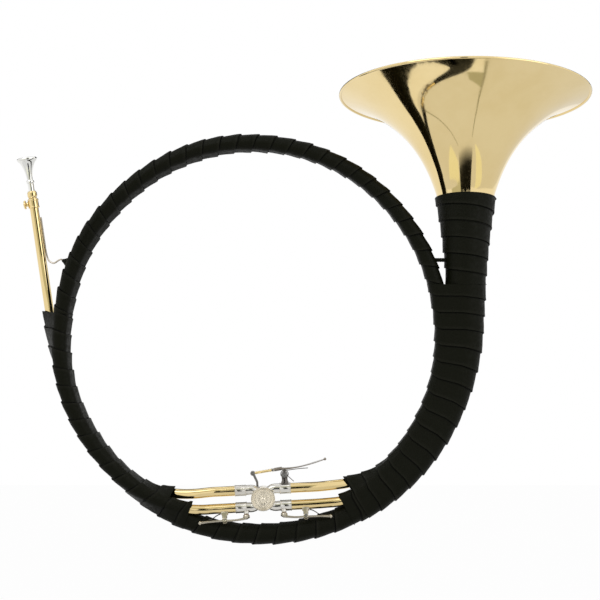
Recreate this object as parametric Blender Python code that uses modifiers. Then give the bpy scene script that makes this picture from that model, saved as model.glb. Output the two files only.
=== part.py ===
"""Two-key hunting horn: wound ring, change valve with lever, water keys and a flared bell.

The horn stands as it hangs: the ring lies in the XZ plane, the bell mouth points up and
away, and the valve faces the front (-Y). All sizes are in metres. Places round the ring
are given as an angle (0 at the right, 90 at the top), a radius and a depth (+Y is back).
"""
from math import asin, atan2, ceil, cos, degrees, floor, pi, radians, sin, sqrt, tan

import bmesh
import bpy
from mathutils import Matrix, Vector

MM = 0.001
GAP = 0.0003                    # room left between pieces that touch

# Ring and tubes
RING_RADIUS = 0.2272            # middle of the two tubes over the top
TUBE_RADIUS = 0.0060            # outside of the 12 mm tubing
TUBE_WALL = 0.0005
PEG_SIDE = 0.1149               # the peg stands this far right of the ring's middle
PEG_UP = 0.1886                 # and this far above it, over the centre of gravity

# Bell and bell branch
BELL_RIM_RADIUS = 0.1519
BELL_LENGTH = 0.1250            # from the leather's edge to the rim
BELL_POLE = 0.1180              # distance from the rim to the flare's pole
BELL_WALL = 0.0007
RIM_WIRE_RADIUS = 0.0016
BELL_TAIL = 0.0120              # bell metal that goes on under the leather
BELL_TILT = radians(9.5)        # the bell leans back
BELL_LEAN = radians(0.8)        # and a little to the right
BELL_BEND_RADIUS = 0.360
BELL_BEND_START = 0.0570        # height above the ring's middle where the bend begins
BRANCH_OUT = 0.2571             # branch axis, right of the ring's middle
BRANCH_MOUTH_RADIUS = 0.0355    # at the leather's edge
BRANCH_POLE = 0.0990
BRANCH_POWER = 0.70
BRANCH_WALL = 0.0006
EDGE_HEIGHT = 0.1663            # the leather's edge below the bell

# Leather
LEATHER = 0.0017
LEATHER_LIFT = 0.0015           # how far each turn's edge stands up
LEATHER_ROOM = 0.0006           # between the leather and the metal in it
EDGE_WIDTH = 0.0005
BUNDLE_LEATHER = 0.0027         # bundles of unlike tubes are wound over a lining
BUNDLE_ROOM = 0.0015
BELL_LEATHER = 0.0020           # round the wide end of the branch
BELL_ROOM = 0.0010
RING_PITCH = 0.0209
BELL_PITCH = 0.0190
RIGHT_PITCH = 0.0196
BOTTOM_PITCH = 0.0222

# Change valve
VALVE_SIDE = 0.01416
VALVE_UP = -0.1984
VALVE_DEPTH = -0.0070           # the valve stands in front of the ring's plane
VALVE_TURN = radians(3)
PORT_OFFSET = 0.0102            # the tube pairs run this far above and below the axis
CASING_RADIUS = 0.0135
CASING_WALL = 0.0015
CASING_HALF = 0.0110
ROTOR_RADIUS = 0.0116
ROTOR_HALF = 0.0076
SHAFT_RADIUS = 0.0022
PASSAGE_RADIUS = 0.0053
PASSAGE_MIDDLE = 0.0066         # the rotor's passages, halfway through
CAP_RADIUS = 0.0144
CAP_FRONT = 0.0150
KNUCKLE_END = 0.0224
FERRULE_START = 0.0200
FERRULE_LENGTH = 0.0135
FERRULE_WALL = 0.0006
STOP_RADIUS = 0.0095            # circle of the stop corks
CORK_RADIUS = 0.0018
STOP_BAR = 0.0022
PIN_CIRCLE = 0.0080             # the stop arm's pin goes round on this circle
PIN_RADIUS = 0.0010
EYE_PLAY = 0.0013               # free play of the link's eye round the pin
EYE_SHIFT = 0.00095             # the eye sits off the pin by half the arc's rise
LINK_DEPTH = 0.0184
LINK_THICK = 0.0020

# Lever, in the valve's own frame (along the tubes, up)
HINGE = (0.0268, 0.0265)
BALL_JOINT = (-0.0114, 0.0287)
LINK_BEND = (-0.0068, 0.0175)
ROD_END = (0.0110, 0.0313)
SOCKET_END = (0.0240, 0.0324)
LEVER_DEPTH = 0.0130
HUB_RADIUS = 0.0034
HUB_LENGTH = 0.0128
AXLE_RADIUS = 0.0016
POST_HALF_DEPTH = 0.0050
LEVER_TIP = (0.0762, 0.0414)

# Water keys
KEY_TILT = radians(28)          # the keys hang under the tubes, turned to the front
KEY_POST = {"left": 0.0470, "right": 0.0500}
KEY_PIVOT = 0.0155              # pivot above the tube's axis
KEY_REACH = 0.0260              # pivot to the cork
KEY_TAIL = 0.0295               # pivot to the ball end
KEY_ROD = 0.0013
NIPPLE_RADIUS = 0.0030
KEY_CORK_RADIUS = 0.0034
KEY_CUP_RADIUS = 0.0042
KEY_BALL = 0.0023
BARREL_RADIUS = 0.0024
BARREL_WIDTH = 0.0040
EAR_THICK = 0.0014

# Mouthpiece end, measured down the pipe's straight axis from the mouthpiece's rim
RIM_CENTRE = Vector((-0.2722, 0.0145, 0.2099))
PIPE_SLOPE = radians(8.48)      # the pipe leans this much from upright
MOUTHPIECE_RADIUS = 0.0120
SHANK_START = 0.0406
COLLAR_START = 0.0502
COLLAR_END = 0.0615
PIPE_START = 0.0494
PIPE_TOP_RADIUS = 0.0052
PIPE_LOW_RADIUS = 0.00545
SHANK_RADIUS = 0.00435
SHANK_END = 0.1050
COLLAR_WALL = 0.0011
KNOB_RADIUS = 0.0052

# The ring's sleeves end at these angles, and every hidden tube has a ring of points there
SPLITS = (-61.85, -57.65, 14.58, 90.0, 174.4, 243.7, 250.9, 298.15, 302.35, 122.0)
STEP = 10.0                     # degrees between the rings of points
STEP_ROOM = 1.95                # a ring of points this near a split is left out
STRADDLE = 0.00043              # straight stretches between them lie half in, half out
LEVEL_RADIUS = 0.228            # turns a height at the right bundle into an angle
LEAN_FULL = 24.0                # angle where the top right leather stands square again
JOINT_HALF = 0.1                # degrees left free on each side of a joint

# Joints of the tubes under the leather
PIPE_JOINT = 214.0
LOOP_JOINT = 225.0
RIGHT_JOINT = -35.0
BRANCH_JOINT = SPLITS[9]

# Routes of the hidden tubes: angle, radius and depth, in degrees and millimetres
MAIN_ROUTE = (
    (-57.65, 214.0, -2.2), (-55, 217.7, 0.5), (-50, 223.7, 5.0), (-45, 227.3, 6.3),
    (-38, 228.0, 6.5), (0, 228.0, 6.5), (40, 227.0, 6.5), (80, 226.8, 6.5),
    (105, 225.6, 6.5), (165, 225.6, 6.4), (174.6, 227.0, 5.9), (182, 229.4, 2.6),
    (190, 231.2, 0.2), (206, 232.5, 0.0), (222, 233.7, 0.4), (230, 235.5, 1.2),
    (237, 237.5, 1.5), (243.5, 239.0, 0.8), (251, 239.8, 0.0), (270, 242.0, 0.0),
    (290, 246.5, 0.0), (300, 248.8, 0.0), (315, 251.4, 0.0), (330, 253.0, 0.0),
    (345, 254.8, 0.0), (360, 257.1, 0.0))
LOOP_ROUTE = (
    (-62, 228.4, -7.8), (-55, 228.6, -8.6), (-50, 228.6, -7.6), (-45, 228.4, -6.8),
    (0, 228.0, -6.5), (40, 227.4, -6.5), (80, 227.6, -6.5), (105, 228.8, -6.5),
    (165, 228.8, -6.7), (174.6, 229.2, -7.8), (182, 231.0, -11.0), (190, 232.8, -13.4),
    (206, 233.2, -13.9), (222, 232.3, -13.9), (230, 231.0, -13.1), (237, 229.5, -11.8),
    (243.5, 226.5, -9.5), (251, 223.6, -8.0))
PIPE_ROUTE = (
    (174.6, 245.5, 14.5), (178, 242.3, 14.5), (182, 239.3, 14.5), (186, 236.6, 14.5),
    (190, 234.4, 14.5), (198, 232.0, 14.5), (206, 230.8, 14.5), (214, 230.2, 14.5),
    (222, 229.2, 14.5), (230, 226.5, 13.0), (237, 222.0, 9.5), (243.7, 215.3, 3.6))


def clear_scene():
    for thing in list(bpy.data.objects):
        bpy.data.objects.remove(thing, do_unlink=True)


def new_collection(name):
    collection = bpy.data.collections.new(name)
    bpy.context.scene.collection.children.link(collection)
    return collection


def new_material(name, colour, roughness, metallic):
    material = bpy.data.materials.new(name)
    material.use_nodes = True
    shader = material.node_tree.nodes["Principled BSDF"]
    shader.inputs["Base Color"].default_value = (*colour, 1.0)
    shader.inputs["Roughness"].default_value = roughness
    shader.inputs["Metallic"].default_value = metallic
    material.diffuse_color = (*colour, 1.0)
    return material


def new_empty(name, parent, matrix):
    empty = bpy.data.objects.new(name, None)
    PARTS.objects.link(empty)
    empty.parent = parent
    empty.matrix_local = matrix
    return empty


clear_scene()
PARTS = new_collection("hunting_horn")
TOOLS = new_collection("cutters")
BRASS = new_material("lacquered_brass", (0.80, 0.60, 0.26), 0.16, 1.0)
NICKEL = new_material("nickel_silver", (0.72, 0.71, 0.68), 0.20, 1.0)
SILVER = new_material("silver_plate", (0.86, 0.86, 0.85), 0.12, 1.0)
STEEL = new_material("spring_steel", (0.42, 0.43, 0.45), 0.30, 1.0)
LEATHER_BLACK = new_material("black_leather", (0.018, 0.020, 0.018), 0.45, 0.0)
CORK = new_material("brown_cork", (0.38, 0.20, 0.09), 0.80, 0.0)

RING = new_empty("ring_middle", None, Matrix.Translation((-PEG_SIDE, 0.0, -PEG_UP)))
VALVE_FRAME = Matrix.Translation((VALVE_SIDE, VALVE_DEPTH, VALVE_UP)) \
    @ Matrix.Rotation(-VALVE_TURN, 4, "Y")
VALVE = new_empty("valve_middle", RING, VALVE_FRAME)
PIPE_FRAME = Matrix.Translation(RIM_CENTRE) @ Matrix.Rotation(-PIPE_SLOPE, 4, "Y")
PIPE_HEAD = new_empty("mouthpiece_rim", RING, PIPE_FRAME)
# Turns a shape made about Z so that its Z points to the back
TO_BACK = Matrix.Rotation(-pi / 2, 4, "X")


# Objects and modifiers

def place(thing, parent, matrix, material, collection=None):
    (collection or PARTS).objects.link(thing)
    thing.parent = parent
    thing.matrix_local = matrix
    thing.data.materials.clear()
    thing.data.materials.append(material)
    return thing


def hide_tool(thing):
    """Keep an object as a cutter or a piece to be joined, out of the model."""
    if thing.name in PARTS.objects:
        PARTS.objects.unlink(thing)
    if thing.name not in TOOLS.objects:
        TOOLS.objects.link(thing)
    thing.hide_render = True
    thing.display_type = "WIRE"
    return thing


def combine(thing, tool, operation):
    hide_tool(tool)
    step = thing.modifiers.new(operation.lower() + "_" + tool.name, "BOOLEAN")
    step.operation = operation
    step.object = tool


def cut(thing, *tools):
    for tool in tools:
        combine(thing, tool, "DIFFERENCE")
    return thing


def join(thing, *tools):
    for tool in tools:
        combine(thing, tool, "UNION")
    return thing


def mesh_of(name, shape):
    mesh = bpy.data.meshes.new(name)
    shape.to_mesh(mesh)
    shape.free()
    return mesh


def smooth_shade(mesh, angle=35):
    mesh.shade_smooth()
    mesh.set_sharp_from_angle(angle=radians(angle))


def turned(name, profile, parent, matrix, material, steps=24, closed=True):
    """A profile of (radius, height) points, outer side from top to bottom, turned about Z."""
    mesh = bpy.data.meshes.new(name)
    points = [(radius, 0.0, height) for radius, height in profile]
    edges = [(i, i + 1) for i in range(len(points) - 1)]
    if closed:
        edges.append((len(points) - 1, 0))
    mesh.from_pydata(points, edges, [])
    thing = place(bpy.data.objects.new(name, mesh), parent, matrix, material)
    screw = thing.modifiers.new("turn", "SCREW")
    screw.steps = screw.render_steps = steps
    screw.use_merge_vertices = True
    screw.merge_threshold = 0.000001
    screw.use_smooth_shade = False
    return thing


def cylinder(name, radius, bottom, top, parent, matrix, material, sides=20):
    shape = bmesh.new()
    bmesh.ops.create_cone(shape, cap_ends=True, segments=sides, radius1=radius,
                          radius2=radius, depth=top - bottom,
                          matrix=Matrix.Translation((0, 0, (bottom + top) / 2)))
    return place(bpy.data.objects.new(name, mesh_of(name, shape)), parent, matrix, material)


def ball(name, radius, centre, parent, matrix, material, segments=14, rings=8):
    shape = bmesh.new()
    bmesh.ops.create_uvsphere(shape, u_segments=segments, v_segments=rings, radius=radius,
                              matrix=Matrix.Translation(centre))
    return place(bpy.data.objects.new(name, mesh_of(name, shape)), parent, matrix, material)


def block(name, size, centre, parent, matrix, material):
    shape = bmesh.new()
    bmesh.ops.create_cube(shape, size=1.0, matrix=Matrix.Translation(centre)
                          @ Matrix.Diagonal((*size, 1.0)))
    return place(bpy.data.objects.new(name, mesh_of(name, shape)), parent, matrix, material)


def path_curve(name, points, radii, resolution):
    """A POLY curve along the points, with a radius at each point."""
    curve = bpy.data.curves.new(name, "CURVE")
    curve.dimensions = "3D"
    curve.bevel_depth = radii[0]
    curve.bevel_resolution = resolution
    spline = curve.splines.new("POLY")
    spline.points.add(len(points) - 1)
    for knot, point, radius in zip(spline.points, points, radii):
        knot.co = (*point, 1.0)
        knot.radius = radius / radii[0]
    return curve


def pipe(name, points, radii, wall, parent, matrix, material, resolution=2):
    """An open-ended tube: its outside follows the radii, its wall grows inwards."""
    curve = path_curve(name, points, radii, resolution)
    thing = place(bpy.data.objects.new(name, curve), parent, matrix, material)
    shell = thing.modifiers.new("wall", "SOLIDIFY")
    shell.thickness = wall
    shell.offset = -1.0
    return thing


def as_mesh(thing):
    """Turn a curve object into a mesh object whose caps are welded on."""
    bpy.context.view_layer.update()
    seen = thing.evaluated_get(bpy.context.evaluated_depsgraph_get())
    mesh = bpy.data.meshes.new_from_object(seen)
    shape = bmesh.new()
    shape.from_mesh(mesh)
    bmesh.ops.remove_doubles(shape, verts=shape.verts, dist=0.000001)
    shape.to_mesh(mesh)
    shape.free()
    name, parent, local = thing.name, thing.parent, thing.matrix_local.copy()
    material = thing.data.materials[0]
    bpy.data.objects.remove(thing, do_unlink=True)
    mesh.name = name
    return place(bpy.data.objects.new(name, mesh), parent, local, material)


def rod(name, points, radius, parent, matrix, material, resolution=2):
    """A solid wire or rod with welded caps."""
    curve = path_curve(name, points, [radius] * len(points), resolution)
    curve.use_fill_caps = True
    thing = place(bpy.data.objects.new(name, curve), parent, matrix, material)
    return as_mesh(thing)


def plate(name, outlines, half_thick, parent, matrix, material):
    """A flat plate from 2D outlines; an outline inside another one is a hole."""
    curve = bpy.data.curves.new(name, "CURVE")
    curve.dimensions = "2D"
    curve.fill_mode = "BOTH"
    curve.extrude = half_thick
    for outline in outlines:
        spline = curve.splines.new("POLY")
        spline.points.add(len(outline) - 1)
        spline.use_cyclic_u = True
        for knot, (x, y) in zip(spline.points, outline):
            knot.co = (x, y, 0.0, 1.0)
    return as_mesh(place(bpy.data.objects.new(name, curve), parent, matrix, material))


def loft(name, rings, parent, matrix, material):
    """A closed solid through rings of equal count, with a flat face at each end."""
    shape = bmesh.new()
    made = [[shape.verts.new(point) for point in ring] for ring in rings]
    count = len(made[0])
    for low, high in zip(made, made[1:]):
        for i in range(count):
            j = (i + 1) % count
            shape.faces.new((low[i], low[j], high[j], high[i]))
    shape.faces.new(list(reversed(made[0])))
    shape.faces.new(made[-1])
    bmesh.ops.recalc_face_normals(shape, faces=shape.faces)
    return place(bpy.data.objects.new(name, mesh_of(name, shape)), parent, matrix, material)


# Curves and places

def arc(centre, radius, start, end, steps):
    """Points on an arc, angles in degrees, both ends included."""
    return [(centre[0] + radius * cos(radians(start + (end - start) * i / steps)),
             centre[1] + radius * sin(radians(start + (end - start) * i / steps)))
            for i in range(steps + 1)]


def circle(centre, radius, steps):
    return arc(centre, radius, 0, 360, steps)[:-1]


def smooth_value(knots, x):
    """Values at x on the smooth curve through the knots (x, value, value)."""
    x = min(max(x, knots[0][0]), knots[-1][0])
    k = next(i for i in range(len(knots) - 1) if x <= knots[i + 1][0])
    low, high = knots[k], knots[k + 1]
    width = high[0] - low[0]
    t = (x - low[0]) / width
    result = []
    for c in range(1, len(low)):
        rise = (high[c] - low[c]) / width

        def slope(i, fallback=rise, channel=c):
            if i <= 0 or i >= len(knots) - 1:
                return fallback
            before, after = knots[i - 1], knots[i + 1]
            return (after[channel] - before[channel]) / (after[0] - before[0])

        m0, m1 = slope(k) * width, slope(k + 1) * width
        result.append((2 * t**3 - 3 * t**2 + 1) * low[c] + (t**3 - 2 * t**2 + t) * m0
                      + (3 * t**2 - 2 * t**3) * high[c] + (t**3 - t**2) * m1)
    return result


def smooth_points(points, steps, first=0):
    """Points on a smooth curve through the given ones; before index first they are kept."""
    travel = [0.0]
    for a, b in zip(points, points[1:]):
        travel.append(travel[-1] + (Vector(b) - Vector(a)).length)
    knots = [(d, *p) for d, p in zip(travel, points)]
    result = [Vector(p) for p in points[:first]]
    for k in range(first, len(points) - 1):
        for i in range(steps):
            result.append(Vector(smooth_value(knots, travel[k]
                                              + (travel[k + 1] - travel[k]) * i / steps)))
    result.append(Vector(points[-1]))
    return result


def flare(distance):
    """Outside radius of the bell branch, by distance back from the leather's edge."""
    shrink = (BRANCH_POLE / (BRANCH_POLE + distance)) ** BRANCH_POWER
    return max(TUBE_RADIUS, BRANCH_MOUTH_RADIUS * shrink)


def branch_distance(angle):
    """Length of branch between the leather's edge and this angle on the ring."""
    return EDGE_HEIGHT + radians(360 - angle) * (BRANCH_OUT - 0.011)


def main_circle(angle):
    radius, depth = smooth_value(MAIN_ROUTE, angle)
    metal = flare(branch_distance(angle)) if angle > 90 else TUBE_RADIUS
    return radius * MM, depth * MM, metal


def loop_circle(angle):
    radius, depth = smooth_value(LOOP_ROUTE, angle)
    return radius * MM, depth * MM, TUBE_RADIUS


def pipe_circle(angle):
    radius, depth = smooth_value(PIPE_ROUTE, angle)
    grow = min(max((angle - 174.6) / 30, 0), 1)
    return radius * MM, depth * MM, PIPE_LOW_RADIUS + (TUBE_RADIUS - PIPE_LOW_RADIUS) * grow


def ring_point(angle, radius, depth):
    return Vector((radius * cos(radians(angle)), depth, radius * sin(radians(angle))))


def branch_centre(height):
    """The branch's axis above the ring's middle, where it bends back to the bell."""
    bend_height = BELL_BEND_RADIUS * sin(BELL_TILT)
    rise = min(max(height - BELL_BEND_START, 0), bend_height)
    depth = BELL_BEND_RADIUS - sqrt(BELL_BEND_RADIUS**2 - rise**2)
    depth += max(height - BELL_BEND_START - bend_height, 0) * tan(BELL_TILT)
    side = BRANCH_OUT + max(height - BELL_BEND_START, 0) * tan(BELL_LEAN)
    return Vector((side, depth, height))


def stations(start, end):
    """Angles of the rings of points from start to end: both ends, each step, each split."""
    inner = [STEP * i for i in range(ceil(start / STEP), floor(end / STEP) + 1)
             if min(abs(STEP * i - split) for split in SPLITS) > STEP_ROOM]
    inner += list(SPLITS)
    inner = sorted(a for a in inner if start + 0.6 < a < end - 0.6)
    return [start] + inner + [end]


def route_points(circle_at, angles):
    found = [circle_at(angle) for angle in angles]
    points = [ring_point(a, radius + STRADDLE, depth)
              for a, (radius, depth, _) in zip(angles, found)]
    return points, [metal for _, _, metal in found]


# Leather sections: an origin, the outward and the backward direction, and the metal in it

BACK = Vector((0, 1, 0))


def ring_section(angle, circles):
    out = Vector((cos(radians(angle)), 0, sin(radians(angle))))
    return Vector((0, 0, 0)), out, BACK, [circle_at(angle) for circle_at in circles]


def leaning_section(angle, circles):
    """Like ring_section, but it leans over to meet the right bundle's level top."""
    first, full = SPLITS[2], LEAN_FULL
    lean = full * max((angle - first) / (full - first), 0) if angle < full else angle
    out = Vector((cos(radians(lean)), 0, sin(radians(lean))))
    middle = ring_point(angle, RING_RADIUS, 0)
    slant = cos(radians(angle - lean))
    found = [(radius - RING_RADIUS, depth, metal / slant)
             for radius, depth, metal in (circle_at(angle) for circle_at in circles)]
    return middle, out, BACK, found


def level_section(height, circles):
    """A level section through the ring's tubes and the branch above the ring's middle."""
    found = []
    for circle_at in circles:
        angle = asin(height / LEVEL_RADIUS)
        radius, depth, metal = circle_at(degrees(angle))
        found.append((sqrt(radius**2 - height**2), depth, metal / cos(angle)))
    middle = branch_centre(height)
    found.append((middle.x, middle.y, flare(EDGE_HEIGHT - height)))
    return Vector((0, 0, height)), Vector((1, 0, 0)), BACK, found


def branch_section(height):
    """A section square to the branch's axis."""
    step = 0.0005
    along = (branch_centre(height + step) - branch_centre(height - step)).normalized()
    out = (Vector((1, 0, 0)) - along * along.x).normalized()
    return branch_centre(height), out, along.cross(out), [(0, 0, flare(EDGE_HEIGHT - height))]


def outline_point(section, part, grow):
    """A point on the taut outline round a section's circles; part goes 0 to 1 round it."""
    origin, out, back, circles = section
    tilt = 0.0
    if len(circles) > 1:
        front, rear = circles[0], circles[1]
        tilt = atan2(rear[0] - front[0], rear[1] - front[1])
    angle = tilt + 2 * pi * part
    along, across = cos(angle), -sin(angle)
    side, depth, metal = max(circles, key=lambda c: c[0] * along + c[1] * across + c[2])
    reach = metal + grow
    return origin + out * (side + reach * along) + back * (depth + reach * across)


def add_bulged(shape, quad, centre):
    """Two triangles in place of a quad, along the diagonal that bulges from the centre."""
    a, b, c, d = quad
    if ((a.co + c.co) / 2 - centre).length > ((b.co + d.co) / 2 - centre).length:
        corners = ((a, b, c), (a, c, d))
    else:
        corners = ((a, b, d), (b, c, d))
    for corner in corners:
        shape.faces.new(corner)


def middle_of(ring):
    return sum((corner.co for corner in ring), Vector()) / len(ring)


def winding(name, section_at, length, bore_at, pitch, columns, leather=LEATHER,
            room=LEATHER_ROOM, straddle=0.0, phase=0.0, first=0.5):
    """Leather wound round the tubes, with one raised edge that climbs as a helix.

    section_at takes a distance clockwise from the sleeve's start. The bore has a ring of
    points at each distance in bore_at, where the tubes inside have theirs. With first at
    one half, the straight sides between two tubes lie midway between two columns.
    """
    shape = bmesh.new()

    def bore_point(distance, column):
        section = section_at(distance)
        return outline_point(section, (column + first) / columns, room) \
            + section[1] * straddle

    def edge(turn, column):
        return (turn - column / columns + phase - 1) * pitch

    def lift_at(distance, column):
        turns = (distance - edge(0, column)) / pitch
        return LEATHER_LIFT * (turns - floor(turns))

    def outer(distance, column, lift):
        if not 0 < distance < length:
            distance = min(max(distance, 0), length)
            lift = lift_at(distance, column)
        point = outline_point(section_at(distance), (column + first) / columns,
                              leather + lift)
        return shape.verts.new(point)

    turns = ceil(length / pitch) + 4
    rows = []
    for turn in range(-1, turns):
        for offset, lift in ((-EDGE_WIDTH / 2, LEATHER_LIFT), (EDGE_WIDTH / 2, 0.0)):
            rows.append([outer(edge(turn, c) + offset, c, lift) for c in range(columns)])
    for k in range(2, len(rows) - 1):
        for c in range(columns):
            if c < columns - 1:
                quad = (rows[k][c], rows[k + 1][c], rows[k + 1][c + 1], rows[k][c + 1])
            else:
                quad = (rows[k][c], rows[k + 1][c], rows[k - 1][0], rows[k - 2][0])
            add_bulged(shape, quad, middle_of(rows[k]))
    bore = [[shape.verts.new(bore_point(d, c)) for c in range(columns)] for d in bore_at]
    for low, high in zip(bore, bore[1:]):
        for c in range(columns):
            n = (c + 1) % columns
            add_bulged(shape, (low[c], low[n], high[n], high[c]), middle_of(low + high))
    for ring, distance, flip in ((bore[0], 0.0, True), (bore[-1], length, False)):
        rim = [outer(-1 if flip else length + 1, c, 0.0) for c in range(columns)]
        for c in range(columns):
            n = (c + 1) % columns
            quad = [ring[c], ring[n], rim[n], rim[c]]
            shape.faces.new(quad if flip else quad[::-1])
    bmesh.ops.remove_doubles(shape, verts=shape.verts, dist=0.000004)
    bmesh.ops.dissolve_degenerate(shape, edges=shape.edges, dist=0.000002)
    bmesh.ops.recalc_face_normals(shape, faces=shape.faces)
    mesh = mesh_of(name, shape)
    thing = place(bpy.data.objects.new(name, mesh), RING, Matrix(), LEATHER_BLACK)
    smooth_shade(mesh, 30)
    return thing


def ring_winding(name, start, end, circles, pitch, columns, section=ring_section,
                 leather=LEATHER, room=LEATHER_ROOM, phase=0.0, first=0.5):
    """A sleeve from one angle clockwise to a smaller one."""
    mean = RING_RADIUS
    start, end = start - JOINT_HALF, end + JOINT_HALF
    length = radians(start - end) * mean
    bore_at = [radians(start - a) * mean for a in reversed(stations(end, start))]
    return winding(name, lambda d: section(start - degrees(d / mean), circles), length,
                   bore_at, pitch, columns, leather, room, STRADDLE, phase, first)


def branch_circle(angle):
    """The branch on its way below the ring, where its angles are one turn on."""
    return main_circle(angle + 360)


# The leather

def make_leather():
    pair = (loop_circle, main_circle)
    top_left = ring_winding("ring_wrap_left", SPLITS[4], SPLITS[3], pair, RING_PITCH, 10)
    top_right = ring_winding("ring_wrap_right", SPLITS[3], SPLITS[2], pair, RING_PITCH, 10,
                             leaning_section, phase=0.15)
    ring_winding("left_wrap", SPLITS[5], SPLITS[4], (loop_circle, pipe_circle, main_circle),
                 RING_PITCH, 14, leather=BUNDLE_LEATHER, room=BUNDLE_ROOM, phase=0.3,
                 first=0.25)
    ring_winding("lower_left_sleeve", SPLITS[6], SPLITS[5], pair, BOTTOM_PITCH, 12,
                 leather=BUNDLE_LEATHER, room=BUNDLE_ROOM, phase=0.5)
    ring_winding("bottom_wrap", SPLITS[7], SPLITS[6], (main_circle,), BOTTOM_PITCH, 10,
                 leather=BELL_LEATHER, room=BELL_ROOM)
    ring_winding("lower_right_sleeve", SPLITS[1], SPLITS[0], (loop_circle, branch_circle),
                 BOTTOM_PITCH, 12, phase=0.2, first=0.0)
    make_right_wrap()
    return top_left, top_right, make_bell_wrap()


def make_right_wrap():
    """The bundle at the right: level sections above the ring's middle, then fanned ones."""
    top = BELL_BEND_START
    turn_end = SPLITS[1] + JOINT_HALF
    length = top + radians(-turn_end) * RING_RADIUS

    def section(distance):
        if distance < top:
            return level_section(top - distance, (loop_circle, main_circle))
        angle = -degrees((distance - top) / RING_RADIUS)
        return ring_section(angle, (loop_circle, main_circle, branch_circle))

    step_height = LEVEL_RADIUS * sin(radians(STEP))
    bore_at = [0.0, top - step_height, top]
    bore_at += [top + radians(-a) * RING_RADIUS for a in reversed(stations(turn_end, 0))][1:]
    winding("right_wrap", section, length, bore_at, RIGHT_PITCH, 14, BUNDLE_LEATHER,
            BUNDLE_ROOM, STRADDLE, first=0.0)


def make_bell_wrap():
    low, high = BELL_BEND_START + 0.0004, EDGE_HEIGHT
    stretch = 1.01
    length = (high - low) * stretch
    bore_at = [length * i / 4 for i in range(5)]
    return winding("bell_wrap", lambda d: branch_section(high - d / stretch), length, bore_at,
                   BELL_PITCH, 18, BELL_LEATHER, BELL_ROOM)


# Brass of the ring

def make_tubes():
    half = JOINT_HALF
    points, radii = route_points(main_circle,
                                 stations(RIGHT_JOINT + half, BRANCH_JOINT - half))
    pipe("main_tube", points, radii, TUBE_WALL, RING, Matrix(), BRASS)
    points, radii = route_points(loop_circle, stations(RIGHT_JOINT + half, LOOP_JOINT - half))
    pipe("eb_loop", points, radii, TUBE_WALL, RING, Matrix(), BRASS)
    points, radii = route_points(main_circle, stations(BRANCH_JOINT + half, 360))
    heights = (LEVEL_RADIUS * sin(radians(STEP)), BELL_BEND_START, 0.085, 0.112, 0.139,
               EDGE_HEIGHT - BELL_TAIL - GAP)
    for height in heights:
        points.append(branch_centre(height))
        radii.append(flare(EDGE_HEIGHT - height))
    pipe("bell_branch", points, radii, BRANCH_WALL, RING, Matrix(), BRASS)
    points, radii = route_points(pipe_circle, stations(SPLITS[4], PIPE_JOINT - half))
    for distance in (0.150, 0.100, PIPE_START):
        points.insert(0, PIPE_FRAME @ Vector((0, 0, -distance)))
        part = (distance - PIPE_START) / 0.14
        radii.insert(0, PIPE_TOP_RADIUS + (PIPE_LOW_RADIUS - PIPE_TOP_RADIUS) * part)
    pipe("mouthpipe", points, radii, TUBE_WALL, RING, Matrix(), BRASS, 3)


def valve_point(along, depth, up):
    return VALVE_FRAME @ Vector((along, depth, up))


def make_legs():
    """The bare brass tubes between the leather and the valve's ferrules."""
    half = JOINT_HALF
    end = KNUCKLE_END + GAP
    legs = {
        "upper_left": (pipe_circle, stations(PIPE_JOINT + half, SPLITS[5]),
                       ((-80.0, -1.4, -194.4), (-64.0, -5.6, -193.3)), -0.0617, PORT_OFFSET),
        "lower_left": (loop_circle, stations(LOOP_JOINT + half, SPLITS[6]),
                       ((-59.0, -7.2, -212.5),), -0.0580, -PORT_OFFSET),
        "upper_right": (main_circle, stations(SPLITS[1], RIGHT_JOINT - half)[::-1],
                        ((97.0, -5.4, -183.2), (79.0, -6.8, -184.9)), 0.0480, PORT_OFFSET),
        "lower_right": (loop_circle, stations(SPLITS[0], RIGHT_JOINT - half)[::-1],
                        ((89.0, -7.2, -204.3),), 0.0550, -PORT_OFFSET),
    }
    for side, (circle_at, angles, free, straight, up) in legs.items():
        inside, _ = route_points(circle_at, angles)
        sign = 1 if straight > 0 else -1
        way = inside + [Vector(point) * MM for point in free]
        way.append(valve_point(straight, 0, up))
        way.append(valve_point(straight - sign * 0.012, 0, up))
        points = smooth_points(way, 2, len(inside) - 1)
        points.append(valve_point(sign * end, 0, up))
        pipe("leg_" + side, points, [TUBE_RADIUS] * len(points), TUBE_WALL, RING, Matrix(),
             BRASS)


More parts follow.
